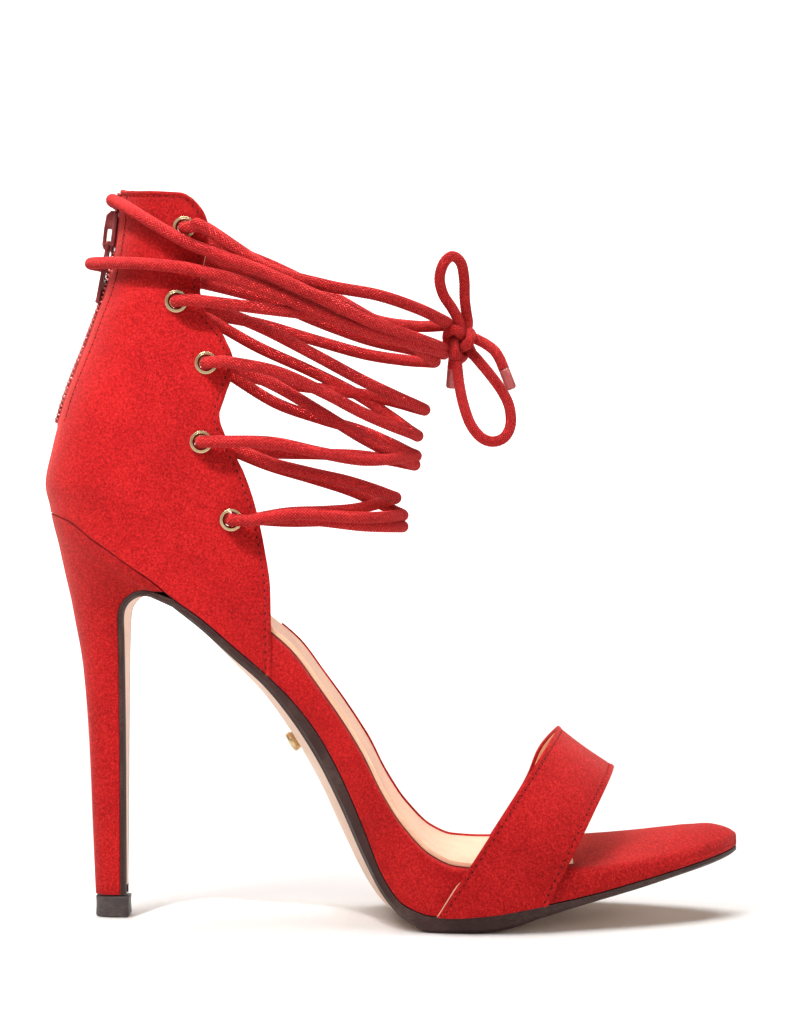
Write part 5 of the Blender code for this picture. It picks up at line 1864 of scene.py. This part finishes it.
def leather_finish(name, dark, light, roughness, scale):
    material, tree, shader = new_finish(name)
    spots = place_on(tree)
    grain = effect(tree, "grain", Coordinates=spots, Scale=scale)
    worn = effect(tree, "scuffs", Coordinates=spots, Scale=420.0, Amount=0.35)
    base = shades(tree, grain["Shade"], (0.25, dark), (0.75, light))
    set_inputs(tree, shader, {
        "Base Color": mixed(tree, worn["Mask"], base, [value * 0.82 for value in dark]),
        "Roughness": between(tree, worn["Mask"], roughness, roughness + 0.25),
        "Normal": bumped(tree, grain["Height"], strength=0.18, distance=0.08),
    })
    return material


def edge_finish(name, dark, light, roughness):
    """Painted sole edge or hard tread: dark, with rubbed streaks."""
    material, tree, shader = new_finish(name)
    spots = place_on(tree)
    worn = effect(tree, "scuffs", Coordinates=spots, Scale=700.0, Amount=0.8)
    grain = effect(tree, "grain", Coordinates=spots, Scale=2400.0)
    base = shades(tree, grain["Shade"], (0.3, dark), (0.7, [value * 1.35 for value in dark]))
    set_inputs(tree, shader, {
        "Base Color": mixed(tree, worn["Mask"], base, light),
        "Roughness": between(tree, worn["Mask"], roughness, roughness + 0.3),
        "Normal": bumped(tree, grain["Height"], strength=0.15, distance=0.05),
        "Specular IOR Level": 0.3,
    })
    return material


def metal_finish(name, colour, rubbed, roughness, metallic):
    material, tree, shader = new_finish(name)
    worn = effect(tree, "scuffs", Coordinates=place_on(tree), Scale=1500.0, Amount=0.7)
    set_inputs(tree, shader, {
        "Base Color": mixed(tree, worn["Mask"], colour, rubbed),
        "Roughness": between(tree, worn["Mask"], roughness, roughness + 0.22),
        "Metallic": metallic,
    })
    return material


def tape_finish():
    material, tree, shader = new_finish("zip_cloth_red")
    weave = effect(tree, "weave", UV=place_on(tree, "UV"), Threads=2.4)
    set_inputs(tree, shader, {
        # Base colour darker where the weave is low: painted shade between the threads
        "Base Color": shades(tree, weave["Height"], (0.0, (0.13, 0.004, 0.006)), (1.0, (0.42, 0.014, 0.018))),
        "Roughness": between(tree, weave["Height"], 0.95, 0.75),
        "Normal": bumped(tree, weave["Height"], strength=0.5, distance=0.15),
    })
    return material


def tip_finish():
    material, tree, shader = new_finish("clear_tip_pink")
    worn = effect(tree, "scuffs", Coordinates=place_on(tree), Scale=900.0, Amount=0.6)
    set_inputs(tree, shader, {
        "Base Color": mixed(tree, worn["Mask"], (0.55, 0.10, 0.10), (0.70, 0.26, 0.25)),
        "Roughness": between(tree, worn["Mask"], 0.12, 0.35),
        "Transmission Weight": 0.45,
        "IOR": 1.46,
    })
    return material


SUEDE = suede_finish("suede_red", (0.21, 0.0015, 0.002), (0.375, 0.0035, 0.004), (0.555, 0.012, 0.011),
                     grain=2700.0)
THREAD = suede_finish("thread_red", (0.26, 0.003, 0.004), (0.38, 0.005, 0.007), (0.50, 0.010, 0.012),
                      grain=3500.0)
# Near-black suede for the needle holes: painted shade, not the suede's own colour
HOLE_SHADE = suede_finish("needle_hole_shade", (0.045, 0.001, 0.001), (0.075, 0.002, 0.002), (0.11, 0.003, 0.004),
                    grain=3500.0)
LACE = lace_finish()
LINING = leather_finish("lining_peach", (0.75, 0.42, 0.265), (0.83, 0.505, 0.345),
                        roughness=0.5, scale=1500.0)
SOLE_FACE = leather_finish("sole_peach", (0.86, 0.58, 0.42), (0.93, 0.66, 0.50),
                           roughness=0.42, scale=1100.0)
SOLE_EDGE = edge_finish("sole_edge_black", (0.030, 0.011, 0.009), (0.085, 0.050, 0.042), roughness=0.42)
HEEL_TIP = edge_finish("heel_tip_brown", (0.035, 0.026, 0.025), (0.11, 0.085, 0.075), roughness=0.45)
GOLD = metal_finish("eyelet_gold", (0.92, 0.78, 0.52), (0.80, 0.63, 0.38), roughness=0.14, metallic=1.0)
STUD_GOLD = metal_finish("stud_gold", (0.84, 0.66, 0.38), (0.70, 0.52, 0.28),
                         roughness=0.26, metallic=1.0)
ZIP_METAL = metal_finish("zip_dark_red", (0.24, 0.030, 0.030), (0.40, 0.13, 0.12),
                         roughness=0.30, metallic=0.45)
TOOTH_METAL = metal_finish("zip_teeth_red", (0.42, 0.07, 0.07), (0.62, 0.30, 0.28),
                           roughness=0.2, metallic=0.85)
ZIP_CLOTH = tape_finish()
CLEAR_TIP = tip_finish()


# Studio


CAMERA_PLACE = (0.002463, -0.898991, 0.1227)
CAMERA_LENS = 106.6
FLOOR_RADIUS = 2.2
BOWL_ROUND = 1.0
WALL_HEIGHT = 2.6
SWEEP_STEPS = 12
SWEEP_TURN_STEPS = 96
BACKDROP_GLOW = 0.95
GLOW_Y = (0.45, 1.6)
GLOW_X = (1.3, 0.6)
GLOW_Z = (1.5, 0.9)
LIGHTS = table(
    "name place aim size spread_deg power colour",
    ("key", (-0.7, -1.0, 1.6), (-0.06, 0.0, 0.15), 0.8, 180, 20.0, (1.0, 0.985, 0.965)),
    ("accent", (-0.35, -0.70, 1.25), (-0.085, -0.02, 0.155), 0.12, 11, 0.11, (1.0, 0.985, 0.965)),
    ("fill", (1.3, -1.1, 0.7), (0.0, 0.0, 0.10), 1.2, 180, 4.5, (1.0, 0.97, 0.94)),
    ("top", (0.05, 0.25, 1.8), (0.05, 0.0, 0.0), 1.5, 180, 43.0, (1.0, 0.985, 0.97)),
    ("back", (-0.9, 1.2, 0.8), (0.0, 0.0, 0.12), 0.9, 180, 2.0, (1.0, 0.99, 0.98)),
)
WORLD_COLOUR = (1.0, 0.87, 0.77, 1.0)
WORLD_STRENGTH = 0.16


def floor_finish():
    material, tree, shader = new_finish("studio_paper")
    tone = noise(tree, place_on(tree), 3.0, 2.0)
    spot = add_node(tree, "ShaderNodeSeparateXYZ", {0: place_on(tree)}).outputs
    # Emission in a patch of the paper behind the shoe: painted light, a glowing backdrop that is no lamp
    glow = 1.0
    for value, start, full in ((spot["Y"], *GLOW_Y), (calc(tree, "ABSOLUTE", spot["X"]), *GLOW_X),
                               (spot["Z"], *GLOW_Z)):
        share = ranged(tree, value, start, full, interpolation_type="SMOOTHSTEP")
        glow = calc(tree, "MULTIPLY", glow, share)
    set_inputs(tree, shader, {
        "Base Color": shades(tree, tone, (0.3, (0.69, 0.687, 0.684)), (0.7, (0.71, 0.707, 0.704))),
        "Roughness": 0.9,
        "Specular IOR Level": 0.1,
        "Emission Color": shades(tree, glow, (0.0, (0.0, 0.0, 0.0)), (1.0, (1.0, 1.0, 1.0))),
        "Emission Strength": BACKDROP_GLOW,
    })
    material.cycles.emission_sampling = "NONE"
    return material


def paper_sweep():
    """Round paper floor that bends up into a wall."""
    profile = [(FLOOR_RADIUS * k / SWEEP_STEPS, 0.0) for k in range(SWEEP_STEPS + 1)]
    for k in range(1, SWEEP_STEPS + 1):
        angle = math.pi / 2 * k / SWEEP_STEPS
        profile.append((FLOOR_RADIUS + BOWL_ROUND * math.sin(angle), BOWL_ROUND * (1 - math.cos(angle))))
    profile.append((FLOOR_RADIUS + BOWL_ROUND, WALL_HEIGHT))
    bm = spun(profile, SWEEP_TURN_STEPS, closed=False)
    if sum(face.normal.z for face in bm.faces) < 0.0:
        bmesh.ops.reverse_faces(bm, faces=bm.faces)
    add_mesh("paper_sweep", bm, floor_finish())


def studio():
    """Paper, soft lights and the camera at the photograph's place."""
    paper_sweep()
    for light in LIGHTS:
        data = bpy.data.lights.new(light.name, "AREA")
        data.shape = "DISK"
        data.size = light.size
        data.spread = math.radians(light.spread_deg)
        data.energy = light.power
        data.color = light.colour
        lamp = add_object(light.name, data)
        lamp.location = light.place
        lamp.rotation_euler = (Vector(light.aim) - Vector(light.place)).to_track_quat("-Z", "Y").to_euler()
    scene = bpy.context.scene
    scene.world = bpy.data.worlds.new("studio")
    scene.world.use_nodes = True
    backdrop = scene.world.node_tree.nodes["Background"].inputs
    backdrop["Color"].default_value = WORLD_COLOUR
    backdrop["Strength"].default_value = WORLD_STRENGTH
    scene.view_settings.view_transform = "Standard"
    view = bpy.data.cameras.new("photo_view")
    view.lens = CAMERA_LENS
    scene.camera = add_object("photo_view", view)
    scene.camera.location = CAMERA_PLACE
    scene.camera.rotation_euler = (math.pi / 2, 0.0, 0.0)


studio()
bow()
knot_turns()
lace_levels()
closed_back()
footbed_cover()
insole()
sole()
heel_cover()
heel_tip()
toe_strap()
stitching()
eyelets()
zip_tape()
zip_slider()
pull_tab()
arch_stud()
